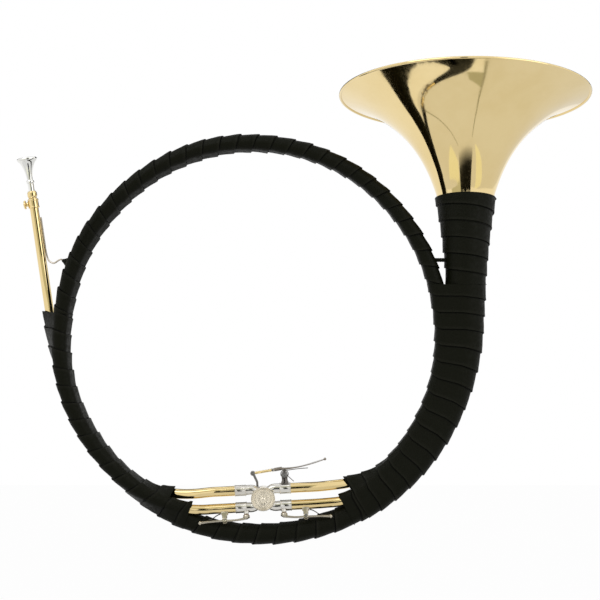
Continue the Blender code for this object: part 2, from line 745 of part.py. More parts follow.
def make_bell():
    """The bell, turned about its own leaning axis, with a wire rolled into the rim."""
    axis = Vector((tan(BELL_LEAN), tan(BELL_TILT), 1)).normalized()
    frame = Matrix.Translation(branch_centre(EDGE_HEIGHT)) \
        @ axis.to_track_quat("Z", "Y").to_matrix().to_4x4()
    steps, tail_steps = 8, 1

    def radius(height):
        if height < 0:
            return flare(-height)
        pole = BELL_LENGTH + BELL_POLE
        mouth = BELL_RIM_RADIUS * (BELL_POLE / pole) ** 2
        blend = (BRANCH_MOUTH_RADIUS - mouth) * (1 - height / BELL_LENGTH)
        return BELL_RIM_RADIUS * (BELL_POLE / (pole - height)) ** 2 + blend

    heights = [BELL_LENGTH * (1 - (i / steps) ** 1.5) for i in range(steps + 1)]
    heights += [-BELL_TAIL * (i + 1) / tail_steps for i in range(tail_steps)]
    outside = [(radius(h), h) for h in heights]
    inside = []
    for i, (r, h) in enumerate(outside):
        before, after = outside[max(i - 1, 0)], outside[min(i + 1, len(outside) - 1)]
        run = Vector((after[0] - before[0], after[1] - before[1])).normalized()
        inside.append((r + run.y * BELL_WALL, h - run.x * BELL_WALL))
    lip = (BELL_RIM_RADIUS - 0.0002, BELL_LENGTH)
    wire = arc(lip, RIM_WIRE_RADIUS, 150, -120, 5)
    profile = wire + outside[1:] + inside[:0:-1]
    turned("bell", profile, RING, frame, BRASS, 22)


# Change valve

def knuckle_way(side, level):
    """Axis of a knuckle, from its ferrule into the casing."""
    shape = ((KNUCKLE_END, PORT_OFFSET), (0.0185, 0.01035), (0.0145, 0.0105),
             (0.0112, 0.0098), (0.0085, 0.0080), (0.0062, 0.0058))
    return [Vector((side * a, 0, level * b)) for a, b in shape]


def make_valve():
    back = TO_BACK
    inner = CASING_RADIUS - CASING_WALL
    wall = CASING_HALF - 0.0018
    hole = SHAFT_RADIUS + GAP + 0.0001
    casing = turned("valve_casing", [
        (CASING_RADIUS, CASING_HALF), (CASING_RADIUS, -CASING_HALF), (inner, -CASING_HALF),
        (inner, wall), (hole, wall), (hole, CASING_HALF)], VALVE, back, NICKEL, 20)
    for side, side_name in ((-1, "left"), (1, "right")):
        for level, level_name in ((1, "upper"), (-1, "lower")):
            name = level_name + "_" + side_name
            way = knuckle_way(side, level)
            cut(casing, rod("port_" + name, way[2:], PASSAGE_RADIUS, VALVE, Matrix(), NICKEL))
            knuckle = as_mesh(pipe("knuckle_" + name, way, [TUBE_RADIUS] * len(way),
                                   TUBE_WALL, VALVE, Matrix(), NICKEL))
            cut(knuckle, cylinder("room_" + name, CASING_RADIUS + GAP, -0.02, 0.02, VALVE,
                                  back, NICKEL, 24))
            make_ferrule(name, side, level)
    make_rotor(back)
    plate_radius = inner - GAP
    turned("bearing_plate", [(plate_radius, -ROTOR_HALF - 0.0006),
                             (plate_radius, -ROTOR_HALF - 0.0028),
                             (hole, -ROTOR_HALF - 0.0028), (hole, -ROTOR_HALF - 0.0006)],
           VALVE, back, NICKEL, 20)
    seat = -CASING_HALF - GAP
    skirt = CASING_RADIUS + GAP
    turned("valve_cap", [
        (0, seat), (skirt, seat), (skirt, -0.0092), (CAP_RADIUS, -0.0092),
        (CAP_RADIUS, -CAP_FRONT + 0.0008), (CAP_RADIUS - 0.0008, -CAP_FRONT),
        (0, -CAP_FRONT)], VALVE, back, NICKEL, 28, closed=False)
    make_stops(back, hole)


def make_ferrule(name, side, level):
    bore = TUBE_RADIUS + GAP
    rim = bore + FERRULE_WALL
    aim = Matrix.Translation((0, 0, level * PORT_OFFSET)) @ Matrix.Rotation(pi / 2, 4, "Y")
    start, end = side * FERRULE_START, side * (FERRULE_START + FERRULE_LENGTH)
    top, low = max(start, end), min(start, end)
    turned("ferrule_" + name, [(rim, top), (rim, low), (bore, low), (bore, top)], VALVE, aim,
           NICKEL, 14)


def make_rotor(back):
    blind = 0.0120
    shaft_end = 0.0162
    tap = 0.0013
    rotor = turned("valve_rotor", [
        (0, blind), (tap, blind), (tap, shaft_end), (SHAFT_RADIUS, shaft_end),
        (SHAFT_RADIUS, ROTOR_HALF), (ROTOR_RADIUS, ROTOR_HALF),
        (ROTOR_RADIUS, -ROTOR_HALF), (SHAFT_RADIUS, -ROTOR_HALF),
        (SHAFT_RADIUS, -CASING_HALF + GAP), (0, -CASING_HALF + GAP)],
        VALVE, back, NICKEL, 18, closed=False)
    mouth = 0.0105
    for level, name in ((1, "upper"), (-1, "lower")):
        way = [Vector((a, 0, level * b)) for a, b in (
            (-mouth, 0.0096), (-0.0062, 0.0076), (0, PASSAGE_MIDDLE), (0.0062, 0.0076),
            (mouth, 0.0096))]
        cut(rotor, rod("passage_" + name, way, PASSAGE_RADIUS, VALVE, Matrix(), NICKEL))
    turned("stop_screw", [
        (0, 0.0182), (0.0024, 0.0182), (0.0024, 0.0168), (tap - GAP, 0.0168),
        (tap - GAP, blind + 0.0006), (0, blind + 0.0006)], VALVE, back, STEEL, 12,
        closed=False)


def make_stops(back, hole):
    """The stop plate with its corks, and the arm that turns between them."""
    floor_, top = CASING_HALF + GAP, CASING_HALF + 0.0016
    cup_top, cork_top = top + 0.0016, 0.0164
    disc = turned("stop_plate", [(0.0128, top), (0.0128, floor_), (hole, floor_),
                                 (hole, top)], VALVE, back, NICKEL, 20)
    bar_half = STOP_BAR / 2
    swing = degrees((bar_half + CORK_RADIUS + GAP) / STOP_RADIUS)
    for name, angle in (("rest", 45 + swing), ("pressed", -45 - swing)):
        spot = Matrix.Translation((STOP_RADIUS * cos(radians(angle)), 0,
                                   STOP_RADIUS * sin(radians(angle)))) @ back
        join(disc, cylinder("cup_" + name, CORK_RADIUS + 0.0009, floor_ + 0.0005, cup_top,
                            VALVE, spot, NICKEL, 12))
        cut(disc, cylinder("cup_room_" + name, CORK_RADIUS + GAP, top, cup_top + 0.001,
                           VALVE, spot, NICKEL, 12))
        cylinder("stop_cork_" + name, CORK_RADIUS, top + GAP, cork_top, VALVE, spot, CORK, 12)
    arm_low, arm_high = cup_top + GAP, 0.0164
    turn = Matrix.Rotation(-radians(45), 4, "Y")
    arm = turned("stop_arm", [(0.0037, arm_high), (0.0037, top + 0.0005),
                              (hole, top + 0.0005), (hole, arm_high)], VALVE, back, STEEL, 16)
    reach, nub = PIN_CIRCLE, STOP_RADIUS + 0.0013
    width = arm_high - arm_low
    middle = (arm_high + arm_low) / 2
    for name, near, far in (("pin", -reach, -hole - 0.0006), ("nub", hole + 0.0006, nub)):
        join(arm, block("arm_" + name, (far - near, width, STOP_BAR),
                        ((near + far) / 2, middle, 0), VALVE, turn, STEEL))
    spot = turn @ Matrix.Translation((-reach, 0, 0)) @ back
    join(arm, cylinder("pin_boss", 0.0021, arm_low, arm_high, VALVE, spot, STEEL, 14))
    join(arm, cylinder("pin", PIN_RADIUS, middle, LINK_DEPTH + LINK_THICK, VALVE, spot,
                       STEEL, 10))


# Lever and link

def flat(point, depth):
    """A point of the valve's front view at a depth."""
    return Vector((point[0], depth, point[1]))


def make_link():
    eye = (-PIN_CIRCLE * cos(pi / 4) - EYE_SHIFT, -PIN_CIRCLE * sin(pi / 4))
    bore = PIN_RADIUS + EYE_PLAY
    rim = bore + 0.0012
    half = 0.0013
    depth = LINK_DEPTH
    # Outline of the bar in the front view, from the eye up to the ball joint and back
    aim = Matrix.Translation((0, depth, 0)) @ Matrix.Rotation(pi / 2, 4, "X")
    top_turn = degrees(atan2(BALL_JOINT[1] - LINK_BEND[1], BALL_JOINT[0] - LINK_BEND[0]))
    head = 0.0026
    outline = arc(eye, rim, 90 + 25, 360 + 90 - 25, 14)
    outline.append((LINK_BEND[0] + half, LINK_BEND[1] + 0.0003))
    outline += arc(BALL_JOINT, head, top_turn - 180 + 35, top_turn + 180 - 35, 10)
    outline.append((LINK_BEND[0] - half, LINK_BEND[1] - 0.0003))
    link = plate("link", [outline, circle(eye, bore, 14)], LINK_THICK / 2, VALVE, aim, STEEL)
    stud = Matrix.Translation((BALL_JOINT[0], 0, BALL_JOINT[1])) @ TO_BACK
    join(link, cylinder("link_stud", 0.0012, LEVER_DEPTH - 0.0034, depth, VALVE, stud,
                        STEEL, 12))


def make_adjusting_rod():
    slope = atan2(ROD_END[1] - BALL_JOINT[1], ROD_END[0] - BALL_JOINT[0])
    frame = Matrix.Translation(flat(BALL_JOINT, LEVER_DEPTH)) \
        @ Matrix.Rotation(-slope, 4, "Y") @ Matrix.Rotation(pi / 2, 4, "Y")
    length = (Vector(ROD_END) - Vector(BALL_JOINT)).length
    thread = (Vector(SOCKET_END) - Vector(BALL_JOINT)).length - 0.0016
    shaft = turned("adjusting_rod", [
        (0, thread), (0.0010, thread), (0.0010, length), (0.0016, length), (0.0016, 0.0008),
        (0, 0.0008)], VALVE, frame, BRASS, 14, closed=False)
    join(shaft, ball("rod_ball", 0.0030, (0, 0, 0), VALVE, frame, BRASS, 10, 7))
    stud = Matrix.Translation((BALL_JOINT[0], 0, BALL_JOINT[1])) @ TO_BACK
    cut(shaft, cylinder("rod_eye", 0.0012 + GAP, 0.0, 0.02, VALVE, stud, BRASS, 12))
    nut = 0.0010 + GAP
    turned("lock_nut", [(0.0024, length + 0.0030), (0.0024, length + 0.0004),
                        (nut, length + 0.0004), (nut, length + 0.0030)], VALVE, frame,
           NICKEL, 6)
    return frame, length


def make_lever(frame, rod_length):
    hinge = Matrix.Translation((HINGE[0], 0, HINGE[1])) @ TO_BACK
    front = LEVER_DEPTH - HUB_LENGTH / 2
    rear = LEVER_DEPTH + HUB_LENGTH / 2
    # Blade: along the tubes, up, half its width and its thickness
    blade = ((23.0, 32.4, 2.0, 3.0), (30.0, 32.4, 2.6, 2.4), (38.0, 33.0, 3.4, 1.7),
             (48.0, 34.4, 4.8, 1.4), (58.0, 36.5, 6.0, 1.3), (67.0, 38.8, 6.2, 1.2),
             (72.0, 40.2, 5.0, 1.2), (75.4, 41.1, 2.4, 1.2))
    rings = []
    for a, b, half, thick in blade:
        low, high = (b - thick / 2) * MM, (b + thick / 2) * MM
        near, far = LEVER_DEPTH - half * MM, LEVER_DEPTH + half * MM
        rings.append([(a * MM, near, low), (a * MM, far, low), (a * MM, far, high),
                      (a * MM, near, high)])
    lever = loft("lever", rings, VALVE, Matrix(), BRASS)
    bore = 0.0010 + GAP
    socket_end = (Vector(SOCKET_END) - Vector(BALL_JOINT)).length
    join(lever, cylinder("lever_hub", HUB_RADIUS, front, rear, VALVE, hinge, BRASS, 14))
    web = (HINGE[0], LEVER_DEPTH, (HINGE[1] + 0.0318) / 2)
    join(lever, block("lever_web", (0.0036, 0.0046, 0.0318 - HINGE[1]), web, VALVE,
                      Matrix(), BRASS))
    join(lever, cylinder("lever_socket", 0.0021, rod_length + 0.0034, socket_end, VALVE,
                         frame, BRASS, 12))
    tip = flat(LEVER_TIP, LEVER_DEPTH)
    join(lever, ball("lever_tip", 0.0017, tip, VALVE, Matrix(), BRASS, 10, 6))
    cut(lever, cylinder("hub_bore", AXLE_RADIUS + GAP, front - 0.001, rear + 0.001, VALVE,
                        hinge, BRASS, 12))
    cut(lever, cylinder("socket_bore", bore, rod_length, socket_end - 0.0012, VALVE, frame,
                        BRASS, 12))
    turned("axle_screw", [
        (0, rear + 0.0018), (0.0029, rear + 0.0018), (0.0029, rear + GAP),
        (AXLE_RADIUS, rear + GAP), (AXLE_RADIUS, -POST_HALF_DEPTH), (0, -POST_HALF_DEPTH)],
        VALVE, hinge, STEEL, 12, closed=False)


def make_post():
    """The lever's post: a saddle on the upper right ferrule with a bored head."""
    seat = TUBE_RADIUS + FERRULE_WALL + 2 * GAP
    middle, foot, waist = HINGE[0], PORT_OFFSET + 0.0052, 0.0200
    foot_half, waist_half, head = 0.0044, 0.0034, 0.0038
    outline = [(middle - foot_half, foot), (middle + foot_half, foot),
               (middle + foot_half, 0.0180), (middle + waist_half, waist)]
    outline += arc(HINGE, head, -20, 200, 10)
    outline += [(middle - waist_half, waist), (middle - foot_half, 0.0180)]
    aim = Matrix.Rotation(pi / 2, 4, "X")
    post = plate("lever_post", [outline, circle(HINGE, AXLE_RADIUS + GAP, 12)],
                 POST_HALF_DEPTH, VALVE, aim, NICKEL)
    along = Matrix.Translation((0, 0, PORT_OFFSET)) @ Matrix.Rotation(pi / 2, 4, "Y")
    cut(post, cylinder("post_seat", seat, 0, 0.06, VALVE, along, NICKEL, 24))


def least_gap(points, radius):
    """Least free room between turns of one wire, past its own next points."""
    near = 5
    least = min((points[i] - points[j]).length for i in range(len(points))
                for j in range(i + near, len(points)))
    return least - 2 * radius


def make_lever_spring():
    """A torsion spring round the hub, one leg under the blade, one on the tube."""
    wire, turns, per_turn = 0.0005, 2, 9
    coil = HUB_RADIUS + wire + 2 * GAP
    pitch, start = 2 * wire + GAP, LEVER_DEPTH - HUB_LENGTH / 2 + 0.0004
    upper_end, lower_end = (0.0553, 0.0321), (0.0375, 0.0172)
    way = [flat(lower_end, start)]
    count = turns * per_turn
    first, last = -35.0, 62.0
    for i in range(count + 1):
        part = i / count
        angle = radians(first - part * (360 * turns - (last - first)))
        way.append(Vector((HINGE[0] + coil * cos(angle), start + part * turns * pitch,
                           HINGE[1] + coil * sin(angle))))
    way.append(flat((upper_end[0] - 0.012, upper_end[1] - 0.0003), way[-1].y))
    way.append(flat(upper_end, way[-1].y))
    print("lever spring, least gap to itself in mm:",
          round(least_gap(way[1:-2], wire) / MM, 3))
    rod("lever_spring", way, wire, VALVE, Matrix(), STEEL, 1)


# Water keys

def key_frame(side):
    """Frame at a key's post: X to the ball end, Z away from the tube."""
    sign = 1 if side == "right" else -1
    out = Vector((sign, 0, 0))
    away = Vector((0, -sin(KEY_TILT), -cos(KEY_TILT)))
    across = away.cross(out)
    turn = Matrix((out, across, away)).transposed().to_4x4()
    return Matrix.Translation((sign * KEY_POST[side], 0, -PORT_OFFSET)) @ turn


def make_water_key(side):
    frame = key_frame(side)
    tube = TUBE_RADIUS + GAP
    cork_spot = frame @ Matrix.Translation((-KEY_REACH, 0, 0))
    nipple_top = 0.0094
    # The nipple's foot is let into the tube's curve by a cut
    nipple = turned("water_nipple_" + side, [
        (NIPPLE_RADIUS - 0.0006, nipple_top), (NIPPLE_RADIUS, 0.0080),
        (NIPPLE_RADIUS + 0.0007, 0.0040), (0.0014, 0.0040), (0.0014, nipple_top)],
        VALVE, cork_spot, NICKEL, 12)
    along = Matrix.Rotation(pi / 2, 4, "Y")
    tube_axis = Matrix.Translation((0, 0, -PORT_OFFSET)) @ along
    room = TUBE_RADIUS + FERRULE_WALL + 2 * GAP
    cut(nipple, cylinder("nipple_room_" + side, room, -0.1, 0.1, VALVE, tube_axis, NICKEL, 24))
    cork_low, cup_low = nipple_top + GAP, nipple_top + 0.0014
    cork_top, cup_top = cup_low + 0.0012, cup_low + 0.0030
    cylinder("water_cork_" + side, KEY_CORK_RADIUS, cork_low, cork_top, VALVE, cork_spot,
             CORK, 14)
    make_key_lever(side, frame, cork_spot, cup_low, cork_top, cup_top)
    make_saddle(side, frame, tube)
    turned("key_screw_" + side, [
        (0, 0.0056), (0.0018, 0.0056), (0.0018, 0.0044), (0.0009, 0.0044),
        (0.0009, -0.0036), (0, -0.0036)], VALVE,
        frame @ Matrix.Translation((0, 0, KEY_PIVOT)) @ TO_BACK, STEEL, 10, closed=False)
    leaf_spring(side, frame)


def make_key_lever(side, frame, cork_spot, cup_low, cork_top, cup_top):
    recess = KEY_CORK_RADIUS + GAP
    roof = cork_top + GAP
    key = turned("water_key_" + side, [
        (0, cup_top + 0.0010), (0.0016, cup_top + 0.0010), (0.0026, cup_top),
        (KEY_CUP_RADIUS, cup_top - 0.0008), (KEY_CUP_RADIUS, cup_low), (recess, cup_low),
        (recess, roof), (0, roof)], VALVE, cork_spot, NICKEL, 12, closed=False)
    tail = 0.0012
    way = [Vector((-KEY_REACH, 0, cup_top)), Vector((-KEY_REACH / 2, 0, KEY_PIVOT + 0.0001)),
           Vector((0, 0, KEY_PIVOT)), Vector((KEY_TAIL * 0.6, 0, KEY_PIVOT + tail / 3)),
           Vector((KEY_TAIL, 0, KEY_PIVOT + tail))]
    join(key, rod("key_rod_" + side, way, KEY_ROD, VALVE, frame, NICKEL, 1))
    join(key, ball("key_ball_" + side, KEY_BALL, way[-1], VALVE, frame, NICKEL, 10, 6))
    pivot = frame @ Matrix.Translation((0, 0, KEY_PIVOT)) @ TO_BACK
    join(key, cylinder("key_barrel_" + side, BARREL_RADIUS, -BARREL_WIDTH / 2,
                       BARREL_WIDTH / 2, VALVE, pivot, NICKEL, 12))
    cut(key, cylinder("key_bore_" + side, 0.0009 + GAP, -0.004, 0.004, VALVE, pivot,
                      NICKEL, 8))


def make_saddle(side, frame, tube):
    """A waisted post with two ears that hold the key's barrel."""
    half = BARREL_WIDTH / 2 + GAP
    pivot = (0.0, KEY_PIVOT)
    # Foot, waist and round head; the foot's underside is then cut to the tube
    outline = [(-0.0042, 0.0045), (0.0042, 0.0045), (0.0042, 0.0068), (0.0021, 0.0098)]
    outline += arc(pivot, 0.0030, -35, 215, 8)
    outline += [(-0.0021, 0.0098), (-0.0042, 0.0068)]
    # The outline's plane is X along the tube and Z away from it
    aim = frame @ Matrix.Rotation(pi / 2, 4, "X")
    saddle = plate("key_saddle_" + side, [outline, circle(pivot, 0.0009 + GAP, 8)],
                   half + EAR_THICK, VALVE, aim, NICKEL)
    slot_low = KEY_PIVOT - BARREL_RADIUS - 0.0008
    slot = block("saddle_slot_" + side, (0.02, 2 * half, 0.012), (0, 0, slot_low + 0.006),
                 VALVE, frame, NICKEL)
    axis = Matrix.Translation((0, 0, -PORT_OFFSET)) @ Matrix.Rotation(pi / 2, 4, "Y")
    cut(saddle, slot, cylinder("saddle_room_" + side, tube + 0.0001, -0.1, 0.1, VALVE, axis,
                               NICKEL, 24))


def leaf_spring(side, frame):
    """A flat spring from the saddle's foot to the key's tail."""
    half, thick = 0.0014, 0.0004
    way = ((0.0046, 0.0068), (0.0080, 0.0078), (0.0120, 0.0104), (0.0160, 0.0134),
           (0.0190, 0.0139))
    rings = [[(x, -half, z - thick / 2), (x, half, z - thick / 2), (x, half, z + thick / 2),
              (x, -half, z + thick / 2)] for x, z in way]
    loft("key_spring_" + side, rings, VALVE, frame, STEEL)


# Mouthpiece end

def make_mouthpiece_end():
    turned("mouthpiece", [
        (0.0106, 0.0), (0.0117, -0.0006), (MOUTHPIECE_RADIUS, -0.0018), (0.0115, -0.0032),
        (0.0094, -0.0055), (0.0070, -0.0100), (0.0049, -0.0165),
        (0.0033, -0.0272), (0.0046, -0.0286), (0.0046, -0.0304),
        (0.0037, -0.0315), (0.0036, -0.0405), (0.0031, -0.0620),
        (0.0023, -0.0620), (0.0018, -0.0270), (0.0034, -0.0150),
        (0.0060, -0.0070), (0.0090, 0.0)], PIPE_HEAD, Matrix(), SILVER, 16)
    bead = 0.0058
    top, low = -SHANK_START, -PIPE_START + 0.0006
    turned("tuning_shank", [
        (0.0049, top), (bead, top - 0.0018), (bead, low + 0.0018), (0.0050, low),
        (SHANK_RADIUS, low), (SHANK_RADIUS, -SHANK_END), (SHANK_RADIUS - 0.0005, -SHANK_END),
        (SHANK_RADIUS - 0.0005, -0.0640), (0.0036, -0.0630), (0.0040, top)], PIPE_HEAD,
        Matrix(), BRASS, 16)
    bore = PIPE_TOP_RADIUS + GAP
    rim = bore + COLLAR_WALL
    collar = turned("clamp_collar", [
        (rim - 0.0005, -COLLAR_START), (rim, -COLLAR_START - 0.0008),
        (rim, -COLLAR_END + 0.0008), (rim - 0.0005, -COLLAR_END), (bore, -COLLAR_END),
        (bore, -COLLAR_START)], PIPE_HEAD, Matrix(), BRASS, 16)
    # The thumbscrew points left, square to the pipe
    side = Matrix.Translation((0, 0, -(COLLAR_START + COLLAR_END) / 2)) \
        @ Matrix.Rotation(-pi / 2, 4, "Y")
    join(collar, cylinder("collar_boss", 0.0030, bore + 0.0006, rim + 0.0012, PIPE_HEAD, side,
                          BRASS, 14))
    cut(collar, cylinder("collar_tap", 0.0010 + GAP, 0.0045, 0.01, PIPE_HEAD, side,
                         BRASS, 12))
    face = rim + 0.0012 + GAP
    turned("thumbscrew", [
        (0, face + 0.0040), (0.0020, face + 0.0040), (KNOB_RADIUS - 0.0006, face + 0.0034),
        (KNOB_RADIUS, face + 0.0026), (KNOB_RADIUS, face + 0.0014), (0.0024, face + 0.0008),
        (0.0022, face), (0.0010, face), (0.0010, bore + 0.0002), (0, bore + 0.0002)],
        PIPE_HEAD, side, BRASS, 16, closed=False)


def make_braces(wraps):
    """Wire brace at the mouthpipe with its foot, and the brace between ring and bell."""
    top_left, top_right, bell_wrap = wraps
    wire = 0.0010
    lean = PIPE_TOP_RADIUS + (PIPE_LOW_RADIUS - PIPE_TOP_RADIUS) * 0.7 + wire + 0.0002
    way = [PIPE_FRAME @ Vector((lean, 0, -d)) for d in (0.0740, 0.0900, 0.1060, 0.1150)]
    way += [Vector(p) * MM for p in ((-246.2, 13.0, 90.0), (-243.2, 10.4, 87.2),
                                     (-239.5, 8.2, 86.0))]
    foot_top = ring_point(159.0, 0.2418, 0.0070)
    outward = Vector((foot_top.x, 0, foot_top.z)).normalized()
    way += [foot_top + outward * 0.0045, foot_top + outward * GAP]
    way = smooth_points(way, 2, 3)
    rod("mouthpipe_brace", way, wire, RING, Matrix(), SILVER, 1)
    aim = Matrix.Translation(foot_top) @ outward.to_track_quat("Z", "Y").to_matrix().to_4x4()
    deep, foot_radius = -0.0075, 0.0040
    turned("brace_foot", [(0, 0), (0.0024, 0), (0.0036, -0.0016), (foot_radius, deep),
                          (0, deep)], RING, aim, LEATHER_BLACK, 14, closed=False)
    cut(top_left, cylinder("foot_room", foot_radius + GAP, deep - GAP, 0.004, RING, aim,
                           LEATHER_BLACK, 14))
    height, depth = 0.0862, -0.0040
    span = Matrix.Translation((0, depth, height)) @ Matrix.Rotation(pi / 2, 4, "Y")
    left, right = 0.2189, 0.2335
    radius = 0.0024
    cylinder("bell_brace", radius, left, right, RING, span, LEATHER_BLACK, 14)
    for wrap, name in ((top_right, "ring"), (bell_wrap, "bell")):
        cut(wrap, cylinder("brace_room_" + name, radius + GAP, left - GAP, right + GAP, RING,
                           span, LEATHER_BLACK, 14))


def build():
    wraps = make_leather()
    make_tubes()
    make_legs()
    make_bell()
    make_valve()
    make_link()
    frame, rod_length = make_adjusting_rod()
    make_lever(frame, rod_length)
    make_post()
    make_lever_spring()
    for side in ("left", "right"):
        make_water_key(side)
    make_mouthpiece_end()
    make_braces(wraps)


build()
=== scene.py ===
"""A hunting horn wound in black leather, with its change valve, keys, bell and mouthpiece."""
from math import asin, atan2, ceil, cos, degrees, floor, pi, radians, sin, sqrt, tan

import bmesh
import bpy
from mathutils import Matrix, Vector


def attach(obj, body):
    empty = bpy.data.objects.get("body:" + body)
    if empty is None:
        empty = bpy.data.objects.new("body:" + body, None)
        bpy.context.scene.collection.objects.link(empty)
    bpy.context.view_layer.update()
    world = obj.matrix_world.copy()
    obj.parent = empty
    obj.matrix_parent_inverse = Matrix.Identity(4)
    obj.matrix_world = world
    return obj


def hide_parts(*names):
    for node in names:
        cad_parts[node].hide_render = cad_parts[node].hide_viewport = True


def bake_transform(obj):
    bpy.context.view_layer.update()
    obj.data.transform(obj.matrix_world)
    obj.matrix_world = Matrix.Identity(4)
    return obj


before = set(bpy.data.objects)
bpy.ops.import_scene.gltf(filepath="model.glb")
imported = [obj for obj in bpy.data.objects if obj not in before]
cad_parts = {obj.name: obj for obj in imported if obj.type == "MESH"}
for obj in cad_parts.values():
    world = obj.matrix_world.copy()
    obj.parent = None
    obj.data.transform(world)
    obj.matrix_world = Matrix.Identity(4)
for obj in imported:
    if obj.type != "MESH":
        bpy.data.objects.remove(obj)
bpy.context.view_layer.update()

MM = 0.001

# Where the ring, the valve and the mouthpiece's rim stand
RING = Matrix.Translation((-0.1149, 0.0, -0.1886))
VALVE = RING @ Matrix.Translation((0.01416, -0.0070, -0.1984)) \
    @ Matrix.Rotation(-radians(3), 4, "Y")
PIPE_IN_RING = Matrix.Translation((-0.2722, 0.0145, 0.2099)) \
    @ Matrix.Rotation(-radians(8.48), 4, "Y")
PIPE_HEAD = RING @ PIPE_IN_RING
TO_BACK = Matrix.Rotation(-pi / 2, 4, "X")
ALONG_X = Matrix.Rotation(pi / 2, 4, "Y")

# Ring and tubes
RING_RADIUS = 0.2272
TUBE_RADIUS = 0.0060
TUBE_WALL = 0.0005
PIPE_TOP_RADIUS = 0.0052
PIPE_LOW_RADIUS = 0.00545
PIPE_START = 0.0494
PIPE_GROW = 30.0  # degrees over which the mouthpipe grows to the tubes' size
BRANCH_SHIFT = 0.011  # from the branch's last radius to its mean one

# Bell and bell branch
BELL_RIM_RADIUS = 0.1519
BELL_LENGTH = 0.1230
BELL_POLE = 0.1180
BELL_WALL = 0.0007
# Near the rim the flare sweeps out flatter, over this height and by this much
RIM_SWEEP = 0.040
RIM_HOLLOW = 0.010
RIM_WIRE_RADIUS = 0.0016
BELL_TAIL = 0.0120
BELL_TILT = radians(9.5)
BELL_LEAN = radians(0.5)
BELL_BEND_RADIUS = 0.360
BELL_BEND_START = 0.0570
BRANCH_OUT = 0.2571
BRANCH_MOUTH_RADIUS = 0.0355
BRANCH_POLE = 0.0990
BRANCH_POWER = 0.70
EDGE_HEIGHT = 0.1663

# Leather
LEATHER = 0.0017
LEATHER_LIFT = 0.0015
LEATHER_ROOM = 0.0006
RING_LEATHER = 0.0026
BUNDLE_LEATHER = 0.0027
BUNDLE_ROOM = 0.0015
BELL_LEATHER = 0.0020
BELL_ROOM = 0.0010
RING_PITCH = 0.0209
BELL_PITCH = 0.0190
RIGHT_PITCH = 0.0196
BOTTOM_PITCH = 0.0222
# Unevenness of the winding: shares of the pitch and of the lift, and a height
PITCH_DRIFT = 0.022
EDGE_WANDER = 0.020
LIFT_DRIFT = 0.16
SWELL = 0.00012
STRIP_ROUND = 0.075  # length of one turn in the strip's own pattern
BORE_STEP = 0.008
LEATHER_SHEEN = 0.09
PEBBLES = 1150.0
CORK_GRAINS = 1700.0
# Across one turn of the strip: place as a share of the pitch, height as a share of the lift
STRIP_SHAPE = ((0.012, 0.0), (0.05, 0.05), (0.13, 0.13), (0.25, 0.25), (0.38, 0.38),
               (0.51, 0.52), (0.64, 0.66), (0.76, 0.79), (0.86, 0.90), (0.925, 0.99),
               (0.96, 1.05), (0.982, 1.0), (0.994, 0.78), (0.999, 0.42))

# Change valve
PORT_OFFSET = 0.0102
CASING_RADIUS = 0.0135
CASING_HALF = 0.0110
CAP_RADIUS = 0.0144
CAP_FRONT = 0.0150
KNUCKLE_END = 0.0224
FERRULE_START = 0.0200
FERRULE_LENGTH = 0.0135
FERRULE_WALL = 0.0009
SHAFT_RADIUS = 0.0022
STOP_RADIUS = 0.0095
CORK_RADIUS = 0.0018
STOP_BAR = 0.0022
PIN_CIRCLE = 0.0080
PIN_RADIUS = 0.0010
EYE_PLAY = 0.0013
EYE_SHIFT = 0.00095
LINK_DEPTH = 0.0184
LINK_THICK = 0.0020

# Lever, in the valve's own frame (along the tubes, up)
HINGE = (0.0268, 0.0265)
BALL_JOINT = (-0.0114, 0.0287)
LINK_BEND = (-0.0068, 0.0175)
ROD_END = (0.0110, 0.0313)
SOCKET_END = (0.0240, 0.0324)
LEVER_DEPTH = 0.0130
HUB_RADIUS = 0.0034
HUB_LENGTH = 0.0128
AXLE_RADIUS = 0.0016
POST_HALF_DEPTH = 0.0050
LEVER_TIP = (0.0762, 0.0414)

# Water keys
KEY_TILT = radians(28)
KEY_POST = {"left": 0.0470, "right": 0.0500}
KEY_PIVOT = 0.0155
KEY_REACH = 0.0260
KEY_TAIL = 0.0295
KEY_ROD = 0.0013
NIPPLE_RADIUS = 0.0030
NIPPLE_TOP = 0.0094
KEY_CORK_RADIUS = 0.0034
KEY_CUP_RADIUS = 0.0042
KEY_BALL = 0.0023
BARREL_RADIUS = 0.0024
BARREL_WIDTH = 0.0040
EAR_THICK = 0.0014

# Mouthpiece end
MOUTHPIECE_RADIUS = 0.0120
SHANK_START = 0.0406
SHANK_RADIUS = 0.00435
COLLAR_START = 0.0502
COLLAR_END = 0.0615
COLLAR_WALL = 0.0011
KNOB_RADIUS = 0.0052
BRACE_WIRE = 0.0010

# Angles in degrees at which the leather's sleeves end, and last the branch's joint
SPLITS = (-61.85, -57.65, 14.58, 90.0, 174.4, 243.7, 250.9, 298.15, 302.35, 122.0)
# Degrees between the points along a route, and the room they keep from splits and ends
STEP = 10.0
STEP_ROOM = 1.95
END_ROOM = 0.6
STRADDLE = 0.00043  # the tubes' axes lie this far outside their routes, as in the CAD
LEVEL_RADIUS = 0.228  # where a level cut meets the ring's tubes
LEAN_FULL = 24.0  # the angle from which a section leans no more
# Half the gap between two lengths of tube, and the angles at which they meet, in degrees
JOINT_HALF = 0.1
PIPE_JOINT = 214.0
LOOP_JOINT = 225.0
RIGHT_JOINT = -35.0
BRANCH_JOINT = 122.0
# Degrees by which one sleeve of leather runs on under the next
LEATHER_LAP = 0.03
# The bell's leather ends a little below the edge of the solid's
WRAP_TOP = EDGE_HEIGHT - 0.0055

